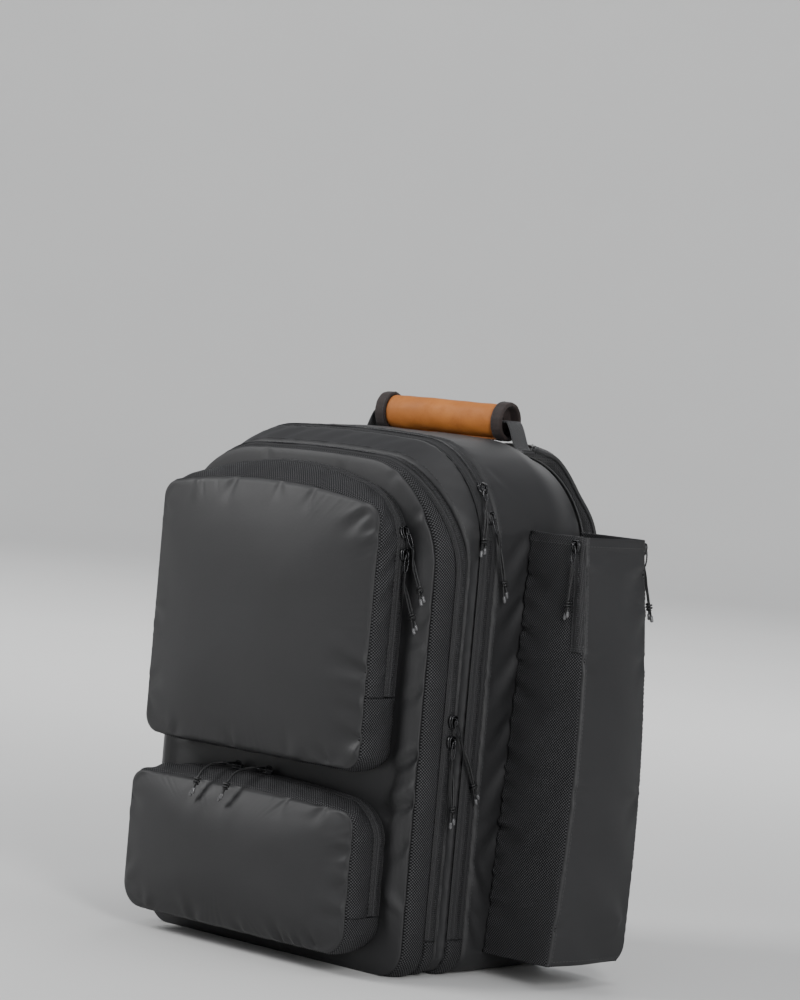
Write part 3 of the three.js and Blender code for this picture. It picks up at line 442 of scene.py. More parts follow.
def meshMaterial():
    # knitted spacer cloth: round holes on a staggered grid
    tree, shader, place = startMaterial("mesh", (0.012, 0.012, 0.013, 1), 0.85, Sheen_Weight=0.2)
    x, y, z = splitVector(tree, place.outputs["Object"])
    across = calc(tree, "ADD", x, calc(tree, "MULTIPLY", y, 0.7))
    a = wave(tree, calc(tree, "ADD", across, z), 0.0052)
    b = wave(tree, calc(tree, "SUBTRACT", across, z), 0.0052)
    hole = remap(tree, calc(tree, "MULTIPLY", a, b), 0.1, 0.7, 0.0, 1.0)
    fuzz = noise(tree, place.outputs["Object"], 1600.0, 2.0)
    # painted shade in the holes: the colour goes near black where the holes are and stays lighter on the knit
    # between them
    base = blendColour(tree, hole, (0.026, 0.026, 0.028, 1), (0.004, 0.004, 0.004, 1))
    tree.links.new(base, shader.inputs["Base Color"])
    height = calc(tree, "SUBTRACT", calc(tree, "MULTIPLY", fuzz, 0.4), hole)
    bump(tree, shader, height, 0.0006, 0.8)


def webbingMaterial():
    tree, shader, place = startMaterial("webbing", (0.014, 0.014, 0.015, 1), 0.6, Sheen_Weight=0.1)
    u, v = splitVector(tree, place.outputs["UV"])[:2]
    lean = calc(tree, "PINGPONG", v, 0.003)
    rib = wave(tree, calc(tree, "ADD", u, lean), 0.0022)
    ply = wave(tree, v, 0.0015)
    height = calc(tree, "ADD", calc(tree, "MULTIPLY", rib, 0.7), calc(tree, "MULTIPLY", ply, 0.3))
    # painted highlight and shade: the colour follows the rib height, light on the raised ribs and dark
    # between them
    base = blendColour(tree, remap(tree, height, -1.0, 1.0, 0.0, 1.0), (0.007, 0.007, 0.008, 1),
                       (0.028, 0.028, 0.03, 1))
    tree.links.new(base, shader.inputs["Base Color"])
    bump(tree, shader, height, 0.0004, 0.8)


def leatherMaterial(f):
    # pores from a cell texture, broad mottling and darker edges
    tree, shader, place = startMaterial("leather", f["light"], 0.6, Specular_IOR_Level=0.3)
    spot = place.outputs["Object"]
    cloud = useGroup(tree, "cloud", Vector=spot, Size=26.0)
    wear = useGroup(tree, "wear", Vector=spot, Width=7.0)
    pores = tree.nodes.new("ShaderNodeTexVoronoi")
    pores.feature = "DISTANCE_TO_EDGE"
    pores.inputs["Scale"].default_value = 900.0
    tree.links.new(spot, pores.inputs["Vector"])
    streak = noise(tree, spot, 90.0, 6.0, 0.7)
    base = blendColour(tree, calc(tree, "MULTIPLY", cloud["Wide"], 0.55), f["light"], f["dark"])
    base = blendColour(tree, remap(tree, streak, 0.5, 0.75, 0.0, 0.35), base, f["dark"])
    base = blendColour(tree, calc(tree, "MULTIPLY", wear["Mask"], 0.6), base, (0.10, 0.03, 0.010, 1))
    tree.links.new(base, shader.inputs["Base Color"])
    tree.links.new(remap(tree, streak, 0.3, 0.7, 0.54, 0.7), shader.inputs["Roughness"])
    crease = remap(tree, pores.outputs["Distance"], 0.0, 0.12, 0.0, 1.0)
    bump(tree, shader, calc(tree, "ADD", calc(tree, "MULTIPLY", crease, 0.5), streak), 0.00015, 0.6)


def plainMaterial(name, dark, light, roughness, size, depth, **sockets):
    # two close colours mixed by noise, with the same noise in the bump
    tree, shader, place = startMaterial(name, dark, roughness, **sockets)
    grain = noise(tree, place.outputs["Object"], size, 4.0)
    tree.links.new(blendColour(tree, remap(tree, grain, 0.35, 0.65, 0.0, 1.0), dark, light),
                   shader.inputs["Base Color"])
    tree.links.new(remap(tree, grain, 0.3, 0.7, roughness - 0.06, roughness + 0.06),
                   shader.inputs["Roughness"])
    bump(tree, shader, grain, depth, 0.6)


def braidMaterial():
    tree, shader, place = startMaterial("cord", (0.006, 0.006, 0.0065, 1), 0.36, Specular_IOR_Level=0.5)
    u, v = splitVector(tree, place.outputs["UV"])[:2]
    a = wave(tree, calc(tree, "ADD", u, v), 0.0022)
    b = wave(tree, calc(tree, "SUBTRACT", u, v), 0.0022)
    height = calc(tree, "MULTIPLY", a, b)
    # painted highlight and shade: the colour follows the braid height, light on the raised strands and dark
    # between them
    base = blendColour(tree, remap(tree, height, -1.0, 1.0, 0.0, 1.0), (0.002, 0.002, 0.0022, 1),
                       (0.012, 0.012, 0.013, 1))
    tree.links.new(base, shader.inputs["Base Color"])
    bump(tree, shader, height, 0.00025, 0.8)


coatedMaterial(finish["coated"])
nylonMaterial(finish["nylon"])
tapeMaterial(finish["tape"])
meshMaterial()
webbingMaterial()
leatherMaterial(finish["leather"])
braidMaterial()
plainMaterial("coil", (0.014, 0.014, 0.015, 1), (0.030, 0.030, 0.032, 1), 0.3, 700.0, 0.00005)
plainMaterial("binding", (0.009, 0.005, 0.0045, 1), (0.026, 0.015, 0.013, 1), 0.8, 500.0, 0.0005,
              Sheen_Weight=0.05)
plainMaterial("plastic", (0.010, 0.010, 0.011, 1), (0.016, 0.016, 0.017, 1), 0.42, 500.0, 0.00006)
plainMaterial("metal", (0.008, 0.008, 0.009, 1), (0.020, 0.020, 0.022, 1), 0.22, 260.0, 0.00003,
              Metallic=0.35)
plainMaterial("tip", (0.060, 0.060, 0.062, 1), (0.095, 0.095, 0.098, 1), 0.18, 500.0, 0.00005)
plainMaterial("thread", (0.020, 0.020, 0.021, 1), (0.042, 0.042, 0.044, 1), 0.6, 1500.0, 0.0001)
plainMaterial("edging", (0.009, 0.009, 0.010, 1), (0.022, 0.022, 0.023, 1), 0.7, 1300.0, 0.0002,
              Sheen_Weight=0.1)
print("materials built")


# pull cords: two strands through each wire pull, a wrapped knot and shiny ends

cordRoutes = {
    "upper_pocket_cord_1": [
        (147, -105.9, 385.3), (149.4, -107.2, 378), (153, -108.4, 370), (158, -108.8, 360),
        (163, -108.2, 349), (167, -107.6, 338),
    ],
    "upper_pocket_cord_2": [
        (144.6, -111.2, 363.4), (145.8, -111.8, 355), (151, -111.8, 344), (156.5, -111, 330),
        (162.5, -109, 312),
    ],
    "front_zip_cord_1": [
        (177.8, -54.1, 218.9), (178.6, -50.8, 211), (180.2, -43, 195), (180.6, -33, 174), (180.6, -26, 160),
    ],
    "front_zip_cord_2": [
        (177.8, -63.4, 198.2), (179, -63, 188), (180.2, -61.4, 170), (180.4, -59.6, 153), (180.4, -58, 138),
    ],
    "main_zip_cord_1": [
        (173.1, -43.1, 433.2), (176.6, -45.4, 427), (180, -47.8, 417), (181.6, -49.8, 402),
        (182.2, -51.5, 384),
    ],
    "main_zip_cord_2": [
        (181.6, -32.6, 404.2), (183, -31.4, 397), (183.6, -27.6, 384), (183.8, -22, 366), (183.8, -16, 344),
    ],
    "lower_pocket_cord_1": [
        (-5.9, -128.3, 167.9), (-6.2, -136, 168), (-7.4, -146, 167), (-9.4, -154, 161.6),
        (-11.6, -159, 152), (-14.4, -164, 137),
    ],
    "lower_pocket_cord_2": [
        (-46.9, -128.3, 167.1), (-47.2, -136, 167.2), (-48.2, -146, 166.2), (-49.8, -153.8, 160.6),
        (-51.4, -158.6, 151), (-53, -163.2, 136),
    ],
    "sleeve_cord_front": [
        (238.6, 8.1, 383.6), (238.4, 7.9, 374), (237.6, 7.8, 362), (236.8, 7.9, 348), (236, 8, 334),
    ],
    "sleeve_cord_rear": [
        (237.8, 109.7, 383.6), (240, 110.6, 373), (243.4, 111.2, 361), (247, 111.4, 347.5),
        (250, 111.5, 334.5),
    ],
}
pullCord = {
    "width": 4.2,  # across the two strands
    "strand": 0.95,  # radius of one strand
    "knotAt": 0.7,  # share of the length
    "knotLength": 7.0,
    "knotTurns": 2.75,
    "tipLength": 6.5,
    "tip": 1.65,
    "spread": 0.9,  # how far the free ends part
}
cordOut = {  # the way out of the cloth where each cord starts
    "upper_pocket": (1, 0, 0.1), "front_zip": (1, 0, 0), "main_zip": (0.9, 0, 0.4),
    "lower_pocket": (0, -0.3, 1),
    "sleeve_cord_front": (0, -1, 0), "sleeve_cord_rear": (0, 1, 0),
}


def pullCordPiece(name, route, c, out):
    # both strands follow the route, one on each side; a helix round them makes the knot
    path = spline(route, 60)
    share = np.linspace(0, 1, len(path))[:, None]
    ahead = unit(np.gradient(path, axis=0))
    out = unit(np.asarray(out, float))
    start = unit(out - (ahead * out).sum(1, keepdims=True) * ahead)
    across = np.cross(ahead, start)
    turn = 0.5 * np.pi * smooth(share / 0.35) + 0.5 * np.sin(3 * share)
    side = np.cos(turn) * start + np.sin(turn) * across
    part = c["strand"] * (1 + c["spread"] * smooth((share - c["knotAt"]) / (1 - c["knotAt"])))
    pinch = 1 - 0.25 * bell((share - c["knotAt"]) / 0.08)
    legs = [path + side * part * pinch * way for way in (1, -1)]
    legs[1] = legs[1][: int(0.96 * len(path))]  # one end is shorter
    top = legs[0][0] * 0.5 + legs[1][0] * 0.5
    bend = np.linspace(0, np.pi, 9)[1:-1, None]
    loop = top + side[0] * c["strand"] * np.cos(bend) - ahead[0] * 2.6 * np.sin(bend)
    whole = np.concatenate([legs[0][::-1], loop, legs[1]])
    whole = even(whole, 150)
    grids = [(tubeGrid(whole, c["strand"], 8, across[0] + 0.02 * ahead[0]), tubeUv(whole, c["strand"], 8), 0)]
    middle = int(c["knotAt"] * len(path))
    wrap = np.linspace(0, 1, 44)
    at = path[middle] + ahead[middle] * ((wrap - 0.5) * c["knotLength"])[:, None]
    angle = (2 * np.pi * c["knotTurns"] * wrap)[:, None]
    swell = (2.15 + 0.4 * np.sin(np.pi * wrap))[:, None]
    wound = np.cos(angle) * side[middle] + np.sin(angle) * np.cross(ahead[middle], side[middle])
    helix = at + swell * wound
    thin = 0.95 * np.minimum(1, 0.35 + 6 * np.minimum(wrap, 1 - wrap))
    grids.append((tubeGrid(helix, thin, 8, ahead[middle] + 0.01 * side[middle]), tubeUv(helix, 0.95, 8), 0))
    for leg in legs:
        s = along(leg)
        end = leg[s > s[-1] - c["tipLength"]]
        fore, aft = np.linspace(0, 1, len(end)), np.linspace(1, 0, len(end))
        fat = c["tip"] * np.clip(np.minimum(0.75 + 4 * fore, 0.6 + 4 * aft), 0, 1)
        grids.append((tubeGrid(end, fat, 10, across[0]), tubeUv(end, c["tip"], 10), 1))
    points, faces, corners, table, kinds = [], [], [], [], []
    count = corner = 0
    for grid, uv, kind in grids:
        nu, nv = grid.shape[:2]
        i, j = (a.ravel() for a in np.meshgrid(np.arange(nu - 1), np.arange(nv), indexing="ij"))
        quad = [(i, j), (i, j + 1), (i + 1, j + 1), (i + 1, j)]
        quads = np.stack([a * nv + b % nv for a, b in quad], 1)
        inward = facing(grid.reshape(-1, 3), quads, tubeWay(grid, i, j)) < 0
        order = slice(None, None, -1) if inward else slice(None)
        ring = np.arange(nv)
        caps = [np.stack([ring, (ring + 1) % nv, ring * 0 + nu * nv], 1)[:, ::-1][:, order],
                (np.stack([ring, (ring + 1) % nv, ring * 0 + nu * nv + 1], 1)
                 + [(nu - 1) * nv, (nu - 1) * nv, 0])[:, order]]
        faces += (quads[:, order] + count).tolist() + [f for cap in caps for f in (cap + count).tolist()]
        corners += [np.stack([a * (nv + 1) + b for a, b in quad], 1)[:, order].ravel() + corner,
                    np.zeros(6 * nv, int) + corner]
        kinds += [kind] * (len(quads) + 2 * nv)
        points += [grid.reshape(-1, 3), grid[:1].mean(1), grid[-1:].mean(1)]
        table.append(uv.reshape(-1, 2))
        count += nu * nv + 2
        corner += nu * (nv + 1)
    piece = addMesh(name + "_pull", np.concatenate(points), faces, np.concatenate(corners),
                    np.concatenate(table))
    finishPiece(piece, ["cord", "tip"], replaces=name)
    piece.data.polygons.foreach_set("material_index", kinds)
    float(along(path)[-1]) * metre


def tubeWay(grid, i, j):
    # from the middle of each ring out to the middle of each face
    nv = grid.shape[1]
    return (grid[i, j] + grid[i + 1, (j + 1) % nv]) / 2 - (grid[i].mean(1) + grid[i + 1].mean(1)) / 2


for name, route in cordRoutes.items():
    out = next(way for start, way in cordOut.items() if name.startswith(start))
    pullCordPiece(name, route, pullCord, out)
print("cords made")


# seam lines of the body, as in the solids

body = {
    "half": 175, "base": 0, "top": 490, "roundBase": 26, "roundTop": 88, "crown": 10,
    "frontY": -104, "backY": 104, "faceRoll": 7, "zipEnd": 34, "cloth": 2.0,
    "mainRearY": -23, "mainRearTopY": -27, "backInset": 7, "backDrop": 12.74,
    "sideSwell": 2.1, "topSwell": 1.47, "steps": 60, "seamGap": 0.3,
}
seamRows = {
    # inset from the body's half width, drop from its top, depth at the side and over the top
    "face": (8.4, 24.5, None, None),
    "gusset": (4.9, 22.54, -69, -92),
    "frontTape": (3.15, 19.6, -56, -79),
    "crescent": (1.4, 2.94, -43, -47),
    "mainTape": (0, 0, -23, -27),
}


def halfLine(shape):
    # right half of a rounded rectangle from the middle of its base; its top sags as x squared
    half, base, top, low, high = (shape[k] for k in ("half", "base", "top", "roundBase", "roundTop"))
    t = np.linspace(0, 1, body["steps"])
    q = t * np.pi / 2
    parts = [
        ((half - low) * t[:-1], base + 0 * t[:-1]),
        (half - low * (1 - np.sin(q)), base + low * (1 - np.cos(q))),
        (half + 0 * t[1:-1], base + low + (top - high - base - low) * t[1:-1]),
        (half - high * (1 - np.cos(q)), top - high * (1 - np.sin(q))),
        ((half - high) * (1 - t[1:]), top + 0 * t[1:]),
    ]
    x, z = (np.concatenate([part[k] for part in parts]) for k in (0, 1))
    z = z - shape["crown"] * (x / half) ** 2 * np.clip((z - base) / (top - base), 0, 1)
    return np.stack([x, z], 1)


def closedLine(shape):
    right = halfLine(shape)
    left = right[-2:0:-1] * [-1, 1]
    return np.concatenate([right, left, right[:1]])


def topShare(z):
    # 0 on the sides and 1 over the top
    return smooth((z - (body["top"] - 1.5 * body["roundTop"])) / (1.3 * body["roundTop"]))


def seamLine(shape, depth, count=420, shift=0, cut=None, upper=True):
    # even points x, y, z on a seam, and the way out of the cloth there; cut keeps what is above or below
    line = closedLine(shape)
    s = along(line)
    total = s[-1]
    dense = np.linspace(0, total, 4001)[:-1]
    x, z = (np.interp(dense, s, line[:, k]) for k in (0, 1))
    tangent = np.stack([np.roll(x, -8) - np.roll(x, 8), np.roll(z, -8) - np.roll(z, 8)], 1)
    tangent = unit(tangent)
    if cut is None:
        want = np.linspace(0, total, count, endpoint=False)
    else:
        right = dense[np.argmax((x > 0) & (z > cut))]
        left = total - right
        want = np.linspace(right, left, count) if upper else np.linspace(left - total, right, count)
    wrap = want % total
    def pick(values):
        return np.interp(wrap, dense, values, period=total)
    px, pz = pick(x), pick(z)
    out = unit(np.stack([pick(tangent[:, 1]), 0 * px, -pick(tangent[:, 0])], 1))
    points = np.stack([px + shift, depth(px + shift, pz), pz], 1)
    step = np.linalg.norm(np.diff(points, axis=0), axis=1)
    return {"points": points, "out": out, "s": np.concatenate([[0], np.cumsum(step)]), "closed": cut is None}


def bodyShape(inset=0.0, drop=0.0):
    return {**body, "half": body["half"] - inset, "top": body["top"] - drop}


faceShape = bodyShape(*seamRows["face"][:2])


def faceDepth(x, z):
    # the front face: flat in the middle and rolled back at its edge
    middle = (faceShape["base"] + faceShape["top"]) / 2
    across = np.clip(np.abs(x / faceShape["half"]) ** 8, 0, 1)
    up = np.clip(np.abs((z - middle) / (faceShape["top"] - middle)) ** 10, 0, 1)
    return body["frontY"] + body["faceRoll"] * (1 - (1 - across) * (1 - up))


def bodySeam(name, cut=None, upper=True, count=420, shiftY=0.0):
    inset, drop, side, top = seamRows[name]
    def depth(x, z):
        if side is None:
            return faceDepth(x, z) + shiftY
        return side + (top - side) * topShare(z) + shiftY
    return seamLine(bodyShape(inset, drop), depth, count, cut=cut, upper=upper)


def bandPiece(name, front, rear, material, rows, lift, thick=2.0, **more):
    # straight from one seam to the other, raised along the way out by lift(share across, distance along)
    share = np.linspace(0, 1, rows)
    between = rear["points"] - front["points"]
    width = np.linalg.norm(between, axis=1)
    inner = body["seamGap"] / 2 / width
    t = inner[:, None] + (1 - 2 * inner[:, None]) * share
    grid = front["points"][:, None] + between[:, None] * t[..., None]
    out = unit(front["out"] + rear["out"])
    s = front["s"]
    raised = lift(share[None, :], s[:, None], width[:, None])
    grid = grid + out[:, None] * raised[..., None]
    closed = front["closed"]
    if closed:
        s = np.append(s, s[-1] + np.linalg.norm(front["points"][0] - front["points"][-1]))
    wide = np.append(width, width[:1]) if closed else width
    u, v = np.broadcast_arrays(s[:, None], share[None, :] * wide[:, None])
    edge = np.minimum(share[None, :], 1 - share[None, :]) * width[:, None]
    return gridPiece(name, grid, material, np.stack([u, v], -1), closeU=closed, thick=thick, edge=edge,
                     **more)


def seamDip(share, width, deep=2.4, reach=2.8):
    # how far the cloth turns in at both seams
    near = np.minimum(share, 1 - share) * width
    return -deep * (1 - smooth(near / reach))


def puckers(share, s, width, size, deep, reach, seed):
    # short ridges that start at both seams and fade away from them
    front = ripple(s, size, seed) * np.exp(-share * width / reach)
    rear = ripple(s, size, seed + 1) * np.exp(-(1 - share) * width / reach)
    return deep * (front + rear)


def scatter(name, places, ahead, up, size, material):
    # the same small bean at every place: an ellipsoid size = (length, width, height), long way ahead
    sides, rings = 6, 4
    turn = np.linspace(0, 2 * np.pi, sides, endpoint=False)
    lift = np.linspace(0, np.pi, rings + 1)[1:-1]
    ring = np.stack([
        np.cos(lift)[:, None] + 0 * turn,
        np.sin(lift)[:, None] * np.cos(turn),
        np.sin(lift)[:, None] * np.sin(turn),
    ], -1).reshape(-1, 3)
    bean = np.concatenate([[[1, 0, 0]], ring, [[-1, 0, 0]]]) * np.asarray(size, float) / 2
    rows = rings - 1
    k, m = (a.ravel() for a in np.meshgrid(np.arange(rows - 1), np.arange(sides), indexing="ij"))
    here, after = 1 + k * sides + m, 1 + k * sides + (m + 1) % sides
    quads = np.stack([here, after, after + sides, here + sides], 1)
    m = np.arange(sides)
    first = np.stack([0 * m, 1 + (m + 1) % sides, 1 + m], 1)
    last = np.stack([0 * m + 1 + rows * sides, 1 + (rows - 1) * sides + m,
                     1 + (rows - 1) * sides + (m + 1) % sides], 1)
    ahead = unit(np.asarray(ahead, float))
    up = unit(up - (up * ahead).sum(1, keepdims=True) * ahead)
    across = np.cross(up, ahead)
    turned = np.stack([ahead, across, up], 1)
    points = (bean @ turned) + places[:, None]
    shifts = np.arange(len(places)) * len(bean)
    faces = [(part[None] + shifts[:, None, None]).reshape(-1, part.shape[1]) for part in (quads, first, last)]
    triangles = np.concatenate([faces[1], faces[2]])
    piece = addMesh(name, points.reshape(-1, 3),
                    [f[::-1] for f in faces[0].tolist()] + triangles[:, ::-1].tolist())
    return finishPiece(piece, material)


stitch = {"length": 3.0, "pitch": 4.0, "thick": 0.75}
thread = {"places": [], "ahead": [], "up": []}


def stitchLine(path, up, pitch=None):
    # notes one stitch for each pitch along a path on the cloth; they become one mesh at the end
    pitch = pitch or stitch["pitch"]
    s = along(path)
    want = np.arange(pitch / 2, s[-1], pitch)
    at = np.stack([np.interp(want, s, path[:, k]) for k in range(3)], 1)
    ways = np.stack([np.interp(want, s, np.gradient(path[:, k], s)) for k in range(3)], 1)
    up = np.broadcast_to(np.asarray(up, float), path.shape)
    lifts = np.stack([np.interp(want, s, up[:, k]) for k in range(3)], 1)
    thread["places"].append(at + 0.1 * unit(lifts))
    thread["ahead"].append(ways)
    thread["up"].append(lifts)


def onBand(front, rear, share, raised=0.0, lift=None):
    # a path on a band at a share of the way from one seam to the other, on its lifted surface
    path = front["points"] * (1 - share) + rear["points"] * share
    out = unit(front["out"] + rear["out"])
    if lift is not None:
        width = np.linalg.norm(rear["points"] - front["points"], axis=1)
        raised = raised + lift(np.full(len(width), share), front["s"], width)[:, None]
    return path + out * raised, out


tooth = {"pitch": 1.9, "size": (4.4, 1.15, 1.5), "small": (3.8, 1.15, 1.4)}


def coilTeeth(name, front, rear, share, raised, size=tooth["size"]):
    # one tooth across the middle of the tape for each pitch
    path, out = onBand(front, rear, share, raised)
    s = along(path)
    want = np.arange(tooth["pitch"], s[-1] - tooth["pitch"], tooth["pitch"])
    at = np.stack([np.interp(want, s, path[:, k]) for k in range(3)], 1)
    up = np.stack([np.interp(want, s, out[:, k]) for k in range(3)], 1)
    way = np.stack([np.interp(want, s, np.gradient(path[:, k], s)) for k in range(3)], 1)
    return scatter(name, at, np.cross(way, up), up, size, "coil")


def tapeLift(share, s, width):
    # flat tape with a low ridge over its coil and a thin groove where its two halves meet
    middle = (share - 0.5) * width
    ridge = 0.9 * smooth((3.5 - np.abs(middle)) / 1.5)
    groove = -0.5 * bell(middle / 0.5)
    wander = 0.35 * ripple(s, 70, 3) * np.sin(np.pi * share)
    return ridge + groove + wander + seamDip(share, width, 1.5, 1.8) - 0.4


def gussetLift(bulge, seed):
    def lift(share, s, width):
        slack = bulge * np.sin(np.pi * share) ** 0.8 * np.minimum(1, width / 18)
        wave = 0.55 * ripple(s, 45, seed) * np.sin(np.pi * share)
        return slack + wave + seamDip(share, width) + puckers(share, s, width, 11, 0.35, 6, seed + 5)
    return lift


def crescentLift(share, s, width):
    # full over the top, where the band is wide, and sunk between the two zips at the sides
    swell = (1.8 * smooth((width - 13) / 12) - 2.8 * smooth((24 - width) / 9)) * np.sin(np.pi * share) ** 0.7
    wave = 0.6 * ripple(s + 25 * share, 38, 21) * np.sin(np.pi * share)
    return swell + wave + seamDip(share, width) + puckers(share, s, width, 14, 0.5, 7, 23)


faceEdge = bodySeam("face", shiftY=body["cloth"])
lines = {name: bodySeam(name) for name in ("gusset", "frontTape", "crescent", "mainTape")}
upperLines = {name: bodySeam(name, cut=body["zipEnd"]) for name in lines}
lowerLines = {name: bodySeam(name, cut=body["zipEnd"] - 0.3, upper=False, count=120) for name in lines}

bandPiece("front_gusset_cloth", faceEdge, lines["gusset"], "nylon", 14, gussetLift(2.2, 11),
          replaces="front_gusset")
bandPiece("front_tape", upperLines["gusset"], upperLines["frontTape"], "tape", 17, tapeLift, 1.6,
          replaces="front_zip")
bandPiece("front_tape_base", lowerLines["gusset"], lowerLines["frontTape"], "nylon", 8, gussetLift(0.8, 31),
          replaces="front_zip_base")
bandPiece("crescent_cloth", lines["frontTape"], lines["crescent"], "coated", 16, crescentLift,
          replaces="main_front")
bandPiece("main_tape", upperLines["crescent"], upperLines["mainTape"], "tape", 17, tapeLift, 1.6,
          replaces="main_zip")
bandPiece("main_tape_base", lowerLines["crescent"], lowerLines["mainTape"], "nylon", 8, gussetLift(0.8, 37),
          replaces="main_zip_base")
coilTeeth("front_coil", upperLines["gusset"], upperLines["frontTape"], 0.5, 0.75)
coilTeeth("main_coil", upperLines["crescent"], upperLines["mainTape"], 0.5, 0.75)
for start, end, shares, lift in (("gusset", "frontTape", (0.14, 0.86), tapeLift),
                                 ("crescent", "mainTape", (0.1, 0.9), tapeLift),
                                 ("frontTape", "crescent", (0.14,), crescentLift)):
    for share in shares:
        stitchLine(*onBand(upperLines[start], upperLines[end], share, 0.15, lift))
print("zips and gussets made")


# front face, with its slack folds beside and below the pockets

def foldSum(x, z, rows):
    # each fold starts at a seam and fades to its far end; across it is a ridge between two shallow valleys
    total = np.zeros_like(x)
    for x0, z0, x1, z1, width, deep in rows:
        way = np.array([x1 - x0, z1 - z0], float)
        reach = np.hypot(*way)
        way /= reach
        t = ((x - x0) * way[0] + (z - z0) * way[1]) / reach
        d = ((z - z0) * way[0] - (x - x0) * way[1]) / (width * (0.55 + 0.75 * np.clip(t, 0, 1.5)))
        fade = smooth((t + 0.12) / 0.2) * smooth((1 - t) / 0.9)
        total += deep * fade * (bell(d) - 0.45 * bell((d - 1.7) / 0.9) - 0.45 * bell((d + 1.7) / 0.9))
    return total


faceCloth = {"around": 420, "fullness": 2.6, "puckerSize": 11, "puckerReach": 26, "slackSize": 90}


def facePiece(name, shape, depthAt, folds, replaces, crown=0.0, shift=0.0, roll=1.5, pucker=0.35, seed=50):
    # rings from the seam to the middle, at the seam's depth less the crown, plus folds and puckers
    # the crown falls with the sixth-power mean of both distances from the middle, so no corner shows in it
    line = closedLine(shape)
    line = even(line, faceCloth["around"] + 1)[:-1]
    middle = np.array([0, (shape["base"] + shape["top"]) / 2])
    shares = 1 - np.concatenate([[0, 0.006, 0.014, 0.026, 0.042, 0.062, 0.086],
                                 np.linspace(0.115, 0.985, 34)])
    ring = middle + (line - middle)[:, None] * shares[None, :, None]
    x, z = ring[..., 0], ring[..., 1]
    s = along(np.concatenate([line, line[:1]]))
    inset = np.linalg.norm(line - middle, axis=1)[:, None] * (1 - shares[None])
    y = depthAt(x, z)
    tall = (shape["top"] - shape["base"]) / 2
    away = (np.abs(x / shape["half"]) ** 6 + np.abs((z - middle[1]) / tall) ** 6) ** (1 / 6)
    y = y - crown * (1 - np.minimum(away, 1) ** faceCloth["fullness"])
    y = y + roll * (1 - smooth(inset / 3.0))
    fade = smooth(inset / 2.0)
    y = y + fade * foldSum(x, z, folds)
    crowd = smooth(0.5 + 0.9 * ripple(s[:-1, None], 75, seed + 1))
    waves = ripple(s[:-1, None], faceCloth["puckerSize"], seed)
    y = y - pucker * crowd * fade * waves * np.exp(-inset / faceCloth["puckerReach"] * 2.2)
    points = np.stack([x + shift, y, z], -1)
    slack = drift(points, faceCloth["slackSize"], seed + 3) * 0.5 + drift(points, 34, seed + 4) * 0.07
    points[..., 1] += slack * smooth(inset / 30)
    nu, nv = points.shape[:2]
    i, j = (a.ravel() for a in np.meshgrid(np.arange(nu), np.arange(nv - 1), indexing="ij"))
    quads = np.stack([(a % nu) * nv + b for a, b in ((i, j), (i + 1, j), (i + 1, j + 1), (i, j + 1))], 1)
    centre = points[:, -1].mean(0)
    k = np.arange(nu)
    fan = np.stack([k * nv + nv - 1, ((k + 1) % nu) * nv + nv - 1, 0 * k + nu * nv], 1)
    flat = points.reshape(-1, 3)
    if facing(flat, quads, (0, -1, 0)) < 0:
        quads, fan = quads[:, ::-1], fan[:, ::-1]
    piece = addMesh(name, np.concatenate([flat, [centre]]), quads.tolist() + fan.tolist(),
                    edge=np.append(inset.ravel(), inset.max()))
    return finishPiece(piece, "coated", 2.0, replaces)


frontFolds = [
    # from x, z to x, z, width, depth (out of the face when negative)
    (165, 204, 128, 168, 7, 4.4),
    (165, 176, 118, 140, 7, -3.2),
    (165, 160, 130, 136, 6, 3.6),
    (163, 124, 140, 92, 6, 3.0),
    (164, 262, 142, 240, 6, 2.2),
    (164, 300, 144, 286, 6, -1.8),
    (164, 62, 138, 90, 6, -1.8),
    (165, 330, 146, 306, 6, 1.4),
    (160, 420, 138, 396, 7, -1.6),
    (120, 462, 104, 440, 6, 1.4),
    (40, 466, 44, 446, 6, -1.0),
    (-60, 464, -52, 446, 6, 1.0),
    (0, 174, 60, 178, 5, 1.6),
    (-140, 176, -80, 172, 5, -1.4),
]


def fullDepth(x, z):
    # beside the pockets the face stands forward in a long soft roll
    up = smooth((z - 24) / 50) * smooth((440 - z) / 90)
    return faceDepth(x, z) - 5.5 * up * bell((np.abs(x) - 153) / 8)


facePiece("front_face_cloth", faceShape, fullDepth, frontFolds, "front_face", roll=0.6, pucker=0.5, seed=60)
print("front face made")


# side, top, back edge and base of the body

sideWrinkles = [
    # from y, z to y, z on the side, width, depth
    (-18, 460, 10, 420, 7, -1.2),
    (18, 398, -22, 330, 9, -2.2),
    (16, 346, -20, 296, 8, 2.4),
    (18, 292, -22, 226, 9, -2.6),
    (14, 240, -20, 192, 8, 2.0),
    (18, 196, -22, 124, 9, -2.6),
    (14, 142, -21, 96, 8, 2.4),
    (-21, 100, 14, 34, 8, -2.2),
    (-20, 58, 6, 18, 6, 1.6),
    (104, 420, 40, 380, 9, -2.2),
    (104, 300, 56, 250, 9, 1.6),
    (104, 140, 60, 190, 9, -1.8),
]


def wallShape(share):
    # the outline at a share of the depth: it swells half way back and is smaller at the back
    swell = np.sin(np.pi * share)
    narrowing = smooth((share - 0.55) / 0.45)
    inset = body["backInset"] * narrowing - body["sideSwell"] * swell
    drop = body["backDrop"] * narrowing - body["topSwell"] * swell
    return bodyShape(inset, drop)


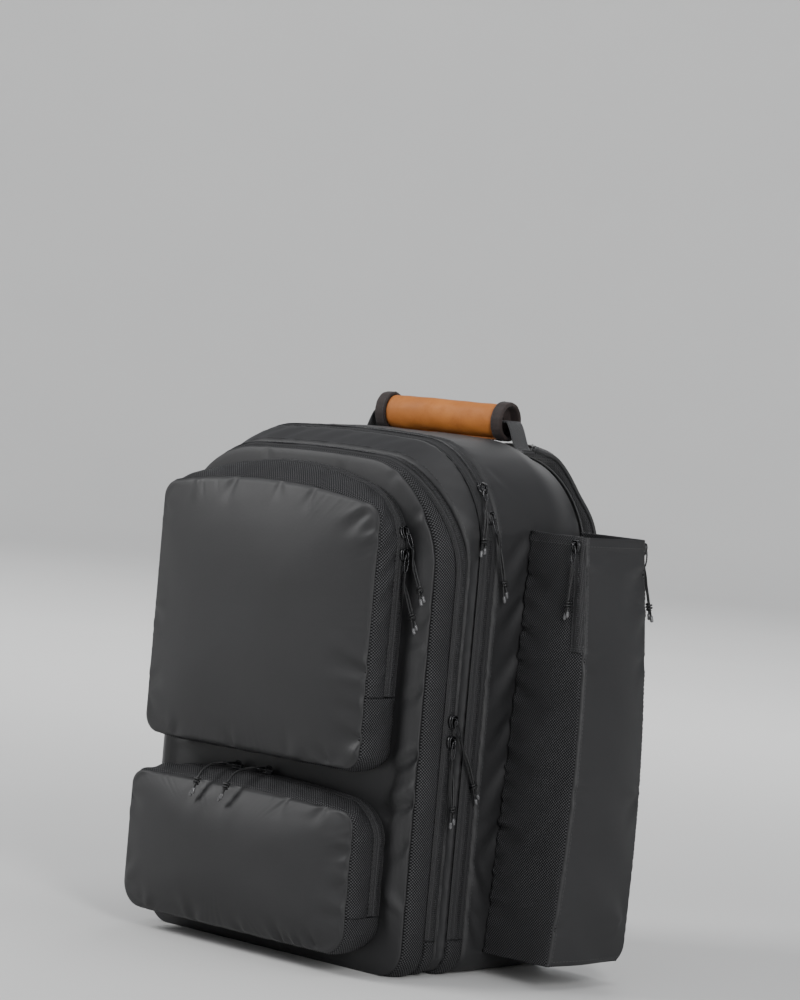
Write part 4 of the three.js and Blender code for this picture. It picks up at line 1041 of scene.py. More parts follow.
def wallPiece():
    # one outline for each depth, from the main zip to the back; folds push the side in and out
    shares = np.concatenate([[0, 0.008, 0.02, 0.035], np.linspace(0.05, 0.95, 40), [0.97, 0.985, 1]])
    deep = body["backY"] - body["mainRearY"]
    rows = []
    for share in shares:
        side = body["mainRearY"] + 0.15 + share * (body["backY"] - body["mainRearY"] - 0.15)
        top = body["mainRearTopY"] + 0.15 + share * (body["backY"] - body["mainRearTopY"] - 0.15)
        row = seamLine(wallShape(share), lambda x, z: side + (top - side) * topShare(z), 440)
        near = min(share, 1 - share) * deep
        y, z = row["points"][:, 1], row["points"][:, 2]
        lie = smooth((np.abs(row["out"][:, 0]) - 0.55) / 0.3)
        fold = -foldSum(y, z, sideWrinkles) * lie
        slack = 0.8 * drift(row["points"], 95, 81) + 0.12 * drift(row["points"], 32, 82)
        pull = 0.6 * ripple(row["s"], 15, 83) * np.exp(-share * deep / 9)
        flat = smooth(row["points"][:, 2] / 10)  # the base stays flat where it stands
        raised = (fold + slack) * smooth(near / 9) + pull * smooth(near / 2) - 2.2 * (1 - smooth(near / 3.2))
        rows.append(row["points"] + row["out"] * (raised * flat - 0.4 * (1 - flat))[:, None])
        s = np.append(row["s"], row["s"][-1] + 3)
    grid = np.stack(rows, 1)
    u, v = np.broadcast_arrays(s[:, None], shares[None] * deep)
    edge = np.broadcast_to(np.minimum(shares, 1 - shares) * deep, grid.shape[:2])
    gridPiece("body_cloth", grid, "coated", np.stack([u, v], -1), closeU=True, thick=2, edge=edge,
              replaces="body_wall")
    path = grid[:, 3]
    path = np.roll(path, -int(np.argmin(path[:, 2])), axis=0)
    path = path[path[:, 2] > 40]
    stitchLine(path, path - [0, path[0, 1], body["top"] / 2])


wallPiece()
print("body made")


# front pockets: a crowned face, a coarse gusset round it, and a zip that ends above the base

pockets = {
    "upper_pocket": {
        "half": 141.5, "base": 186, "top": 454, "roundBase": 24, "roundTop": 40, "crown": 30,
        "panel": {"top": 436, "roundTop": 14, "roundBase": 18, "crown": 14},
        "shift": -3.5, "bulge": 19, "zipEnd": 66, "faceY": -144, "seed": 100,
        "folds": [
            # from x, z to x, z, width, depth (into the bag when positive)
            (141, 274, 92, 288, 9, 3.4),
            (141, 246, 104, 262, 8, -1.6),
            (141, 214, 104, 218, 8, 2.8),
            (140, 202, 110, 192, 7, -2.0),
            (126, 416, 100, 390, 7, 2.2),
            (139, 398, 114, 384, 7, -1.8),
            (60, 433, 54, 407, 6, 1.4),
            (-44, 435, -52, 406, 7, 1.8),
            (-92, 430, -94, 404, 6, -1.2),
            (14, 436, 18, 414, 6, 1.2),
            (60, 186, 78, 214, 9, -1.8),
            (102, 188, 92, 208, 7, 1.8),
            (-20, 186, -28, 206, 8, 1.4),
            (-100, 188, -84, 206, 8, 1.6),
            (-141, 300, -116, 292, 8, 1.6),
            (-141, 230, -110, 238, 9, 1.8),
            (-141, 400, -118, 388, 8, 1.4),
        ],
    },
    "lower_pocket": {
        "half": 146.5, "base": 20, "top": 162, "roundBase": 34, "roundTop": 34, "crown": 10,
        "panel": {"top": 152, "roundTop": 14, "roundBase": 24, "crown": 4},
        "shift": -5, "bulge": 18, "zipEnd": 34, "faceY": -148, "seed": 140,
        "folds": [
            (-40, 152, -72, 112, 11, 1.5),
            (2, 151, -26, 112, 11, 1.6),
            (64, 151, 58, 128, 7, 1.4),
            (112, 149, 100, 128, 7, 1.8),
            (146, 114, 116, 106, 8, 2.2),
            (146, 92, 122, 88, 7, -1.4),
            (145, 62, 114, 74, 9, -2.0),
            (72, 20, 66, 46, 6, 2.6),
            (92, 20, 86, 42, 5, -2.2),
            (114, 24, 102, 46, 6, 2.4),
            (20, 20, 12, 40, 7, 1.4),
            (-46, 20, -34, 46, 8, 1.8),
            (-110, 24, -98, 44, 7, -1.4),
            (-146, 122, -116, 112, 9, 2.2),
            (-141, 46, -110, 62, 9, -1.8),
        ],
    },
}
pocketTape = 14


def pocketTapeLift(share, s, width):
    ridge = 0.9 * smooth((3.4 - np.abs((share - 0.5) * width)) / 1.4)
    groove = -0.5 * bell((share - 0.5) * width / 0.5)
    return ridge + groove + seamDip(share, width, 1.3, 1.5) - 0.3


def pocketPieces(name, p):
    # the top of the face lies below the zip, and the gusset slopes down to it
    panel = {**p, **p["panel"]}
    facePiece(f"{name}_cloth", panel, lambda x, z: p["faceY"] + 0 * x, p["folds"], f"{name}_face", p["bulge"],
              shift=p["shift"], seed=p["seed"])
    end = p["base"] + p["zipEnd"]
    depths = {
        "front": lambda x, z: p["faceY"] + 1.7 + 0 * x,
        "tape": lambda x, z: faceDepth(x, z) - pocketTape,
        "rear": lambda x, z: faceDepth(x, z) + 1.2,
    }
    shapes = {"front": panel, "tape": p, "rear": p}
    upper = {k: seamLine(shapes[k], d, 360, p["shift"], end) for k, d in depths.items()}
    lower = {k: seamLine(shapes[k], d, 160, p["shift"], end - 0.3, False) for k, d in depths.items()}

    def swell(share, s, width):
        folds = 0.7 * ripple(s - 30 * share, 30, p["seed"] + 9)
        return gussetLift(3.6, p["seed"] + 7)(share, s, width) + folds

    bandPiece(f"{name}_gusset_cloth", upper["front"], upper["tape"], "nylon", 18, swell,
              replaces=f"{name}_gusset")
    bandPiece(f"{name}_tape", upper["tape"], upper["rear"], "tape", 15, pocketTapeLift, 1.6,
              replaces=f"{name}_zip")
    bandPiece(f"{name}_base_cloth", lower["front"], lower["rear"], "nylon", 20, swell,
              replaces=f"{name}_base")
    coilTeeth(f"{name}_coil", upper["tape"], upper["rear"], 0.5, 0.65, tooth["small"])
    for share in (0.15, 0.85):
        stitchLine(*onBand(upper["tape"], upper["rear"], share, 0.15, pocketTapeLift))
    stitchLine(*onBand(upper["front"], upper["tape"], 0.9, 0.15, swell))


for pocketName, pocketSizes in pockets.items():
    pocketPieces(pocketName, pocketSizes)
print("pockets made")


# bat sleeve: coarse gathered gussets front and rear, a coated outer panel, a hemmed open mouth

sleeve = {
    "base": 22, "height": 388, "frontY": 16, "forward": 14, "width": 84, "flare": 8,
    "reach": 68, "reachFlare": 12, "belly": 10, "bow": 7, "hem": 11, "hemProud": 0.8,
    "zip": 104, "tape": 12,
}
gathers = ((0.1, 0.035), (0.22, -0.03), (0.34, 0.04), (0.47, -0.035), (0.6, 0.04), (0.72, -0.045),
           (0.84, 0.03))
gussetFolds = [
    # from distance off the bag's side and height, to the same, width, depth (into the sleeve when positive)
    (0, 388, 54, 404, 7, -1.8),
    (0, 372, 50, 352, 9, 2.6),
    (0, 350, 60, 338, 8, -2.4),
    (66, 362, 20, 336, 8, 1.8),
    (0, 322, 52, 296, 9, 2.8),
    (0, 296, 44, 300, 7, -2.0),
    (0, 268, 54, 244, 9, 2.6),
    (0, 236, 46, 226, 8, -2.2),
    (0, 204, 56, 186, 9, 2.6),
    (0, 168, 44, 164, 8, -2.2),
    (0, 136, 54, 118, 9, 2.6),
    (0, 98, 44, 98, 8, -2.0),
    (0, 64, 50, 54, 9, 2.2),
    (76, 60, 40, 44, 9, 1.6),
]
panelFolds = [
    # from distance off the front edge and height, to the same, width, depth
    (2, 392, 40, 366, 10, -1.4),
    (84, 380, 44, 352, 11, 2.0),
    (84, 344, 52, 330, 10, -1.6),
    (86, 300, 60, 290, 9, 1.6),
    (2, 300, 28, 290, 9, 1.2),
    (2, 180, 26, 172, 9, 1.2),
    (88, 170, 62, 160, 10, 1.4),
    (88, 60, 60, 76, 10, -1.4),
    (2, 56, 30, 70, 10, 1.4),
]


def bodyHalf(y):
    share = np.clip((y - body["mainRearY"]) / (body["backY"] - body["mainRearY"]), 0, 1)
    narrowing = smooth((share - 0.55) / 0.45)
    return body["half"] - body["backInset"] * narrowing + body["sideSwell"] * np.sin(np.pi * share)


def sleeveAt(up):
    # height, outer x, front y and rear y at a share of the height
    s = sleeve
    outer = bodyHalf(s["frontY"]) + 0.3 + s["reach"] + s["reachFlare"] * (1 - up)
    outer = outer + s["belly"] * np.sin(np.pi * up)
    front = s["frontY"] - s["forward"] * np.clip(1 - up, 0, 1) ** 1.6
    rear = s["frontY"] + s["width"] + s["flare"] * (1 - up)
    return s["base"] + s["height"] * up, outer, front, rear


def hemLift(up):
    # the doubled cloth stands out below the mouth
    below = (1 - up) * sleeve["height"]
    step = sleeve["hemProud"] * smooth((sleeve["hem"] - below) / 1.2)
    return step - 0.5 * bell((below - sleeve["hem"] + 1.5) / 1.0)


def sleeveCorner(up):
    # how far the rear edge of the panel comes forward at its rounded bottom corner
    return 9 * np.clip(1 - up * sleeve["height"] / 15, 0, 1) ** 2


def frontGussetGrid(across, up, shift=0.0):
    z, outer, front = sleeveAt(up)[:3]
    inner = bodyHalf(front) - 0.8
    outer = outer - 2.3 + 1.8
    away = across * (outer - inner)
    gather = sum(deep * bell((up - place) / 0.035) for place, deep in gathers) * sleeve["reach"]
    bulge = 5 * np.sin(np.pi * across) * np.sqrt(np.sin(np.pi * np.clip(up * 1.05, 0, 1)).clip(0))
    pulled = gather * np.sin(np.pi * across) * (1 - across) * 2 * 0.5
    crowd = 0.35 + 0.65 * smooth(0.5 + 0.9 * ripple(z, 80, 204))
    pucker = 1.7 * crowd * ripple(z, 15, 201) * np.exp(-away / 11) * smooth(away / 2 + 0.2)
    pucker = pucker + 0.9 * ripple(z + 0.5 * away, 9, 202) * np.exp(-away / 6)
    slack = 0.5 * ripple(z - away, 44, 203) * np.sin(np.pi * across)
    edge = np.minimum(away, outer - inner - away)
    dip = 2.2 * (1 - smooth(edge / 3.2))
    folds = foldSum(away, z, gussetFolds) * smooth((1 - up) * 14) * np.exp(-away / 60)
    y = front - bulge + pulled + folds * 0.8 + slack + pucker + dip - hemLift(up) - shift
    return np.stack(np.broadcast_arrays(inner + away, y, z), -1), away, z, edge


def rearGussetGrid(across, up, shift=0.0):
    z, outer, rear = (sleeveAt(up)[k] for k in (0, 1, 3))
    inner = bodyHalf(np.minimum(rear, body["backY"])) - 0.8
    outer = outer - 2.3 + 1.8
    away = across * (outer - inner)
    edge = np.minimum(away, outer - inner - away)
    pucker = 1.4 * ripple(z, 15, 211) * np.exp(-away / 9)
    slack = 0.7 * ripple(z + away, 50, 213) * np.sin(np.pi * across)
    corner = sleeveCorner(up) * smooth((across - 0.4) / 0.6)
    dip = 2.0 * (1 - smooth(edge / 3.2)) + corner
    y = rear + 4 * np.sin(np.pi * across) - pucker - slack - dip + hemLift(up) + shift
    return np.stack(np.broadcast_arrays(inner + away, y, z), -1), away, z, edge


def sidePanelGrid(across, up):
    # the corner of the panel is rounded at the bottom of its rear edge
    z, outer, front, rear = sleeveAt(up)
    rear = rear - sleeveCorner(up)
    away = across * (rear - front)
    edge = np.minimum(np.minimum(away, rear - front - away), up * sleeve["height"])
    bow = sleeve["bow"] * np.sin(np.pi * across) * np.sin(np.pi * np.clip(0.15 + 0.8 * up, 0, 1))
    folds = foldSum(away, z, panelFolds) * smooth((1 - up) * 12)
    pucker = 0.35 * ripple(z, 12, 221) * np.exp(-edge / 7)
    x = outer + bow - folds + 0.9 * ripple(z + 0.7 * away, 90, 222) * np.sin(np.pi * across) + pucker
    x = x - 2.0 * (1 - smooth(edge / 3.0)) + hemLift(up)
    return np.stack(np.broadcast_arrays(x, front + away, z), -1), away, z, edge


def sleeveSheet(name, gridAt, material, steps, outward, replaces):
    across = np.linspace(0, 1, steps[0])[:, None]
    up = np.linspace(0, 1, steps[1])[None]
    grid, u, v, edge = gridAt(across, up)
    u, v = np.broadcast_arrays(u, v)
    gridPiece(name, grid, material, np.stack([u, v], -1), thick=2.0, outward=outward, edge=edge,
              replaces=replaces)


def sleeveTape(name, gridAt, outward, replaces):
    # the tape lies on the gusset beside the panel, its coil down the middle and a bar of stitches below
    low = 1 - sleeve["zip"] / sleeve["height"]
    start = 1 - sleeve["tape"] / sleeve["reach"]
    across = np.linspace(start, 1, 15)[:, None]
    up = np.linspace(low, 1, 90)[None]
    grid, u, v = gridAt(across, up, shift=0.7)[:3]
    middle = (across - (1 + start) / 2) / (1 - start) * sleeve["tape"]
    lift = 0.9 * smooth((3.4 - np.abs(middle)) / 1.4) - 0.5 * bell(middle / 0.5) + 0 * up
    grid[..., 1] += outward[1] * lift
    u, v = np.broadcast_arrays(u, v)
    gridPiece(name, grid, "tape", np.stack([v, u], -1), thick=1.2, outward=outward, replaces=replaces)
    centre = grid[7] + np.array(outward) * 0.3
    s = along(centre)
    want = np.arange(2, s[-1] - 2, tooth["pitch"])
    at = np.stack([np.interp(want, s, centre[:, k]) for k in range(3)], 1)
    scatter(f"{name}_coil", at, np.tile([1.0, 0, 0], (len(at), 1)),
            np.tile(np.array(outward, float), (len(at), 1)), tooth["small"], "coil")
    for column in (1, 13):
        stitchLine(grid[column], outward)
    for row in (1, 3, 5):
        stitchLine(grid[:, row], outward, 3.2)


def sleevePieces():
    sleeveSheet("sleeve_front_cloth", frontGussetGrid, "nylon", (60, 300), (0, -1, 0), "sleeve_front")
    sleeveSheet("sleeve_rear_cloth", rearGussetGrid, "nylon", (36, 160), (0, 1, 0), "sleeve_rear")
    sleeveSheet("sleeve_panel_cloth", sidePanelGrid, "coated", (56, 240), (1, 0, 0), "sleeve_side")
    sleeveTape("sleeve_tape_front", frontGussetGrid, (0, -1, 0), "sleeve_zip_front")
    sleeveTape("sleeve_tape_rear", rearGussetGrid, (0, 1, 0), "sleeve_zip_rear")
    up = np.linspace(0.01, 1, 200)[None]
    hemUp = 1 - 8 / sleeve["height"]
    for gridAt, way, last in ((frontGussetGrid, (0, -1, 0), 0.8), (rearGussetGrid, (0, 1, 0), 0.8),
                              (sidePanelGrid, (1, 0, 0), 0.99)):
        hem = gridAt(np.linspace(0.01, last, 60)[:, None], np.array([[hemUp]]))[0][:, 0]
        stitchLine(hem, way)
    for across in (0.035, 0.965):
        stitchLine(sidePanelGrid(np.array([[across]]), up)[0][0], (1, 0, 0))
    stitchLine(sidePanelGrid(np.linspace(0.04, 0.96, 60)[:, None], np.array([[0.012]]))[0][:, 0], (1, 0, 0))


def sleeveFloor():
    # a flat floor inside the three walls that sags a little between them
    back = np.linspace(0, 1, 30)[None]
    across = np.linspace(0, 1, 30)[:, None]
    outer, front, rear = sleeveAt(0)[1:]
    y = front + 0.6 + (rear - front - 1.2 - 9 * smooth((across - 0.4) / 0.6)) * back
    inner = bodyHalf(np.minimum(y, body["backY"])) - 0.5
    x = inner + (outer - 0.6 - inner) * across
    z = sleeve["base"] + 0.4 - 1.2 * np.sin(np.pi * across) * np.sin(np.pi * back) + 0 * y
    away = np.minimum(np.minimum(across, 1 - across) * 80, np.minimum(back, 1 - back) * 90)
    gridPiece("sleeve_floor", np.stack([x + 0 * y, y, z], -1), "nylon", np.stack([x + 0 * y, y], -1),
              thick=2.4, outward=(0, 0, -1), edge=away + 0 * y, replaces="sleeve_base")


sleevePieces()
sleeveFloor()
print("sleeve made")


# padded back: a bound rim and a cushion with sewn channels

backPad = {"front": 104.3, "deep": 18, "rim": 0.94, "channels": (150, 262, 372), "voxel": 5.0}


def sewnShare(x, z):
    # 1 on the sewn grooves: three across the cushion and one up its middle, fading before the rim
    across = sum(bell((z - at) / 6) for at in backPad["channels"])
    spine = bell(x / 7) * smooth((400 - z) / 24) * smooth((z - 90) / 24)
    return np.clip(np.maximum(across * smooth((148 - np.abs(x)) / 18), spine), 0, 1)


def cushionDepth(x, z, share):
    # full in the middle, round at the rim, a third lower on the grooves
    rounded = smooth(np.clip((backPad["rim"] - share) / 0.09, 0, 1)) ** 0.6
    return backPad["front"] + 2 + (backPad["deep"] - 4.5) * rounded * (1 - 0.42 * sewnShare(x, z))


def ringFaces(count, rows, first=0):
    # quads of a closed ring grid
    i, j = (a.ravel() for a in np.meshgrid(np.arange(count), np.arange(rows - 1), indexing="ij"))
    corners = ((i, j), (i + 1, j), (i + 1, j + 1), (i, j + 1))
    return np.stack([first + (a % count) * rows + b for a, b in corners], 1)


def ringFan(count, rows, column, centre, first=0):
    k = np.arange(count)
    return np.stack([first + k * rows + column, first + ((k + 1) % count) * rows + column, 0 * k + centre], 1)


def meshOf(piece):
    # the piece's mesh with its modifiers applied
    solved = piece.evaluated_get(bpy.context.evaluated_depsgraph_get())
    return bpy.data.meshes.new_from_object(solved)


def placesOf(mesh):
    points = np.empty(len(mesh.vertices) * 3)
    mesh.vertices.foreach_get("co", points)
    return points.reshape(-1, 3) / metre


inflation = {"pressure": 4.0, "frames": 20, "cap": 5.0, "tension": 14.0, "bending": 0.6}


def inflate(piece, voxel, held):
    # voxel remesh, then Cloth with pressure and no gravity; held(points) is 1 where the cloth is sewn down
    remesh = piece.modifiers.new("remesh", "REMESH")
    remesh.mode = "VOXEL"
    remesh.voxel_size = voxel * metre
    mesh = meshOf(piece)
    piece.modifiers.clear()
    piece.data = mesh
    mesh.shade_smooth()
    start = placesOf(mesh)
    group = piece.vertex_groups.new(name="held")
    for index, weight in enumerate(held(start)):
        if weight > 0.02:
            group.add([index], float(weight), "REPLACE")
    cloth = piece.modifiers.new("cloth", "CLOTH")
    settings = cloth.settings
    settings.quality = 5
    settings.mass = 0.3
    settings.tension_stiffness = settings.compression_stiffness = inflation["tension"]
    settings.bending_stiffness = inflation["bending"]
    settings.use_pressure = True
    settings.uniform_pressure_force = inflation["pressure"]
    settings.effector_weights.gravity = 0
    settings.vertex_group_mass = "held"
    cloth.point_cache.frame_start = 1
    cloth.point_cache.frame_end = inflation["frames"]
    for step in range(1, inflation["frames"] + 1):
        bpy.context.scene.frame_set(step)
    swollen = placesOf(meshOf(piece))
    piece.modifiers.clear()
    moved = swollen - start
    size = np.linalg.norm(moved, axis=1, keepdims=True)
    moved *= np.minimum(1, inflation["cap"] / np.maximum(size, 1e-6))
    mesh.vertices.foreach_set("co", ((start + moved) * metre).astype(np.float32).ravel())
    mesh.update()
    bpy.context.scene.frame_set(1)


def backPieces():
    line = even(closedLine(wallShape(1.0)), 361)[:-1]
    middle = np.array([0, (line[:, 1].min() + line[:, 1].max()) / 2])

    def ring(share):
        return middle + (line - middle)[:, None] * share[None, :, None]

    # the rim: edging tape folded over the edge of the cloth, with a line of stitches
    share = np.array([1.004, 1.006, 1.003, 0.995, 0.985, 0.972, 0.968, 0.95, 0.93, 0.91])
    rise = np.array([-0.1, 1.0, 2.1, 2.7, 2.7, 2.4, 1.5, 1.7, 2.0, 2.0])
    flat = ring(share)
    s = along(np.concatenate([line, line[:1]]))
    rise = rise[None] + 0.12 * ripple(s[:-1, None], 9, 305)
    grid = np.stack([flat[..., 0], backPad["front"] + rise, flat[..., 1]], -1)
    u, v = np.meshgrid(s, np.linspace(0, 20, len(share)), indexing="ij")
    gridPiece("back_edging", grid, "edging", np.stack([u, v], -1), closeU=True, thick=1.2, outward=(0, 1, 0),
              slot="webbing")
    sewn = grid[:, 5] + [0, 0.2, 0]
    stitchLine(np.concatenate([sewn, sewn[:1]]), (0, 1, 0))

    # the cushion: the same rings once behind and once in front, closed in the middle
    share = np.concatenate([backPad["rim"] - np.array([0, 0.006, 0.016, 0.03, 0.05]),
                            np.linspace(0.84, 0.02, 34)])
    flat = ring(share)
    x, z = flat[..., 0], flat[..., 1]
    outer = np.stack([x, cushionDepth(x, z, share[None]), z], -1)
    inner = np.stack([x, backPad["front"] + 0.6 + 0 * x, z], -1)
    count, rows = outer.shape[:2]
    points = np.concatenate([outer.reshape(-1, 3), inner.reshape(-1, 3),
                             [outer[:, -1].mean(0), inner[:, -1].mean(0)]])
    first = count * rows
    top = ringFaces(count, rows)
    under = ringFaces(count, rows, first)
    k = np.arange(count)
    after = (k + 1) % count
    wall = np.stack([k * rows, first + k * rows, first + after * rows, after * rows], 1)
    fans = [ringFan(count, rows, rows - 1, 2 * first),
            ringFan(count, rows, rows - 1, 2 * first + 1, first)[:, ::-1]]
    if facing(points, top, (0, 1, 0)) < 0:
        faces = [top[:, ::-1], under, wall, fans[0][:, ::-1], fans[1][:, ::-1]]
    else:
        faces = [top, under[:, ::-1], wall[:, ::-1], *fans]
    cushion = addMesh("back_cushion", points, sum((f.tolist() for f in faces), []))

    def held(points):
        low = smooth((backPad["front"] + 4 - points[:, 1]) / 2)
        return np.maximum(low, sewnShare(points[:, 0], points[:, 2]) ** 1.5)

    inflate(cushion, backPad["voxel"], held)
    finishPiece(cushion, "mesh", replaces="back_panel", levels=1)
    for at in backPad["channels"]:
        x = np.linspace(-128, 128, 80)
        path = np.stack([x, cushionDepth(x, at + 0 * x, 0.3) + 0.6, at + 0 * x], 1)
        stitchLine(path, (0, 1, 0))
    z = np.linspace(100, 390, 90)
    stitchLine(np.stack([0 * z, cushionDepth(0 * z, z, 0.3) + 0.6, z], 1), (0, 1, 0))


backPieces()
print("back cushion made")


# shoulder straps

strapRoute = ((59.5, 113.3, 482.3), (63, 143.1, 472.3), (71.75, 166, 442.3), (82.3, 184.7, 401.8),
              (89.3, 180.5, 333.2), (94.5, 163.9, 254.8), (98, 134.3, 176.4))
strap = {"width": 62, "thick": 12, "endWidth": 32.5, "endThick": 6, "edging": 1.9, "web": 25, "webThick": 2.4}
buckle = {"width": 35, "height": 26, "thick": 5, "bar": 4.5}


def strapFrame(path):
    # across the strap, level with the bag, and out of it, away from the bag
    ahead = unit(np.gradient(path, axis=0))
    flat = np.array([1.0, 0, 0])
    across = unit(flat - (ahead @ flat)[:, None] * ahead)
    out = np.cross(across, ahead)
    return across, out if out[len(out) // 2, 1] > 0 else -out


def ribbon(name, path, across, out, wide, thick, material, replaces=()):
    # the section is a flat superellipse: |a|^6 + |b|^6 = 1
    turn = np.linspace(0, 2 * np.pi, 28, endpoint=False)
    a, b = (np.sign(f(turn)) * np.abs(f(turn)) ** (1 / 3) for f in (np.cos, np.sin))
    section = np.stack([a * wide / 2, b * thick / 2], 1)
    grid = path[:, None] + section[None, :, :1] * across[:, None] + section[None, :, 1:] * out[:, None]
    around = along(np.concatenate([section, section[:1]]))
    u, v = np.meshgrid(along(path), around, indexing="ij")
    return gridPiece(name, grid, material, np.stack([u, v], -1), closeV=True, ends=True, replaces=replaces)


def shoulderPad(sideWord, path, wide, thick):
    # a padded tube that thins towards both edges, with edging tape on them and webbing down its outer face
    across, out = strapFrame(path)
    share = np.linspace(0, 1, len(path))[:, None, None]
    turn = np.linspace(0, 2 * np.pi, 80, endpoint=False)
    a = np.sign(np.cos(turn)) * np.abs(np.cos(turn)) ** 0.62
    b = np.sign(np.sin(turn)) * np.abs(np.sin(turn)) ** 0.9 * (1 - 0.7 * smooth((np.abs(a) - 0.82) / 0.12))
    puff = 1 + 0.05 * ripple(along(path), 32, 320)[:, None, None] * (1 - np.abs(a[None, :, None]))
    tuck = 0.6 + 0.4 * smooth(np.minimum(share, 1 - share) / 0.02)
    grid = path[:, None] + wide[:, None, None] / 2 * a[None, :, None] * across[:, None]
    grid = grid + thick[:, None, None] / 2 * b[None, :, None] * puff * tuck * out[:, None]
    pad = gridPiece(f"shoulder_cushion_{sideWord}", grid, "mesh", closeV=True, ends=True,
                    replaces=f"shoulder_pad_{sideWord}")
    for edge, word in ((-1, "a"), (1, "b")):
        rim = path + edge * across * (wide / 2 - 0.9)[:, None]
        ring = tubeGrid(rim, strap["edging"], 14, out, 0.8)
        gridPiece(f"strap_edging_{sideWord}_{word}", ring, "edging", closeV=True, ends=True)
        stitchLine(path + edge * across * (wide / 2 - 6)[:, None] + out * (thick * 0.36)[:, None], out)
    part = slice(8, 112)
    down = path[part] + out[part] * (thick[part] / 2 + 0.6)[:, None]
    ribbon(f"strap_webbing_{sideWord}", down, across[part], out[part], strap["web"], 1.9, "webbing")
    for edge in (-1, 1):
        stitchLine(down + edge * 10.6 * across[part] + out[part], out[part])
    for row in (3, 5, 50, 52, 97, 99):
        bar = down[row] + np.linspace(-10, 10, 12)[:, None] * across[part][row] + out[part][row]
        stitchLine(bar, out[part][row])


def buckleFrame(sideWord, pad):
    # a rounded oblong carried round a rectangle with round corners, between the pad's end and the webbing
    b = buckle
    turn = np.linspace(0, 2 * np.pi, 97)[:-1]
    x = (b["width"] - b["bar"]) / 2 * np.sign(np.cos(turn)) * np.abs(np.cos(turn)) ** 0.28
    z = (b["height"] - b["bar"]) / 2 * np.sign(np.sin(turn)) * np.abs(np.sin(turn)) ** 0.28
    path = np.stack([pad[0] + x, pad[1] + 0 * x, pad[2] - 2 - b["height"] / 2 + z], 1)
    ahead = unit(np.roll(path, -1, 0) - np.roll(path, 1, 0))
    side = np.cross(ahead, [0, 1.0, 0])
    ring = np.linspace(0, 2 * np.pi, 20, endpoint=False)
    a, c = (np.sign(f(ring)) * np.abs(f(ring)) ** 0.55 for f in (np.cos, np.sin))
    grid = path[:, None] + b["bar"] / 2 * a[None, :, None] * side[:, None]
    grid = grid + b["thick"] / 2 * c[None, :, None] * np.array([0, 1.0, 0])
    gridPiece(f"buckle_frame_{sideWord}", grid, "plastic", closeU=True, closeV=True,
              replaces=f"strap_buckle_{sideWord}")


def lowerWebbing(side, sideWord, pad):
    # from the buckle's lower bar to the bottom corner of the back, where its end is sewn down
    top = np.array([pad[0], pad[1] - buckle["thick"] / 2 - strap["webThick"] / 2 - 0.3,
                    pad[2] - 2 - buckle["height"] + buckle["bar"]])
    rest = backPad["front"] + backPad["deep"] + strap["webThick"] / 2 + 0.3
    route = [top, (side * 115.5, top[1] - 2, 49 + (top[2] - 49) * 0.45), (side * 129.5, rest, 63),
             (side * 134.75, rest, 49)]
    path = spline(route, 90)
    across, out = strapFrame(path)
    ribbon(f"adjuster_webbing_{sideWord}", path, across, out, strap["web"], strap["webThick"], "webbing",
           f"lower_webbing_{sideWord}")
    for row in (79, 82, 85, 88):
        bar = path[row] + np.linspace(-10, 10, 12)[:, None] * across[row] + out[row] * 1.2
        stitchLine(bar, out[row])


for sideSign, sideWord in ((1, "right"), (-1, "left")):
    padPath = spline(np.array(strapRoute) * [sideSign, 1, 1], 120)
    taper = smooth((np.linspace(0, 1, 120) - 0.8) / 0.2)
    padWide = strap["width"] + (strap["endWidth"] - strap["width"]) * taper
    padThick = strap["thick"] + (strap["endThick"] - strap["thick"]) * taper
    shoulderPad(sideWord, padPath, padWide, padThick)
    buckleFrame(sideWord, padPath[-1])
    lowerWebbing(sideSign, sideWord, padPath[-1])
print("shoulder straps made")


# grab handle: webbing through a padded leather wrap with bound ends

handle = {
    "y": 82, "z": 506.3, "length": 142, "height": 36, "depth": 29, "straight": 85, "foot": 22,
    "web": 20, "webThick": 2.4, "leather": 1.8, "overlap": 0.7,
}


def topAt(y, x):
    # height of the body's top at a distance from the middle
    share = (y - body["mainRearTopY"]) / (body["backY"] - body["mainRearTopY"])
    shape = wallShape(share)
    return shape["top"] - shape["crown"] * (x / shape["half"]) ** 2


def leatherWrap():
    # the leather winds once round the padding and overlaps low at the back, so its radius grows by its wall
    h = handle
    start = math.radians(-62)  # measured from the back, downwards
    turn = np.linspace(0, 2 * np.pi + h["overlap"], 130)
    radius = 1 - (h["leather"] + 0.2) / (h["height"] / 2) * (1 - smooth((turn - 2 * np.pi + 0.5) / 0.7))
    radius = radius + 0.008 * np.sin(3 * turn + 0.6)
    x = np.linspace(-h["length"] / 2, h["length"] / 2, 90)
    angle = start - turn
    y = h["y"] + h["depth"] / 2 * radius * np.cos(angle)
    z = h["z"] + h["height"] / 2 * radius * np.sin(angle)
    grid = np.stack(np.broadcast_arrays(x[:, None], y[None], z[None]), -1).copy()
    away = np.minimum(x + h["length"] / 2, h["length"] / 2 - x)[:, None]
    way = np.stack([0 * turn, np.cos(angle), np.sin(angle)], 1)[None]
    dents = 0.35 * drift(grid, 46, 401) + 0.18 * drift(grid, 17, 402) - 0.8 * (1 - smooth(away / 4))
    grid = grid + way * dents[..., None]
    sheetEdge = np.minimum(away, ((2 * np.pi + h["overlap"] - turn) * 15)[None])
    v = along(np.stack([y, z], 1))
    u, v = np.meshgrid(x, v, indexing="ij")
    gridPiece("leather_wrap", grid, "leather", np.stack([u, v], -1), thick=h["leather"], edge=sheetEdge,
              replaces="handle_wrap")
    stitchLine(grid[:, -4] + 0.15 * way[0, -4], way[0, -4])


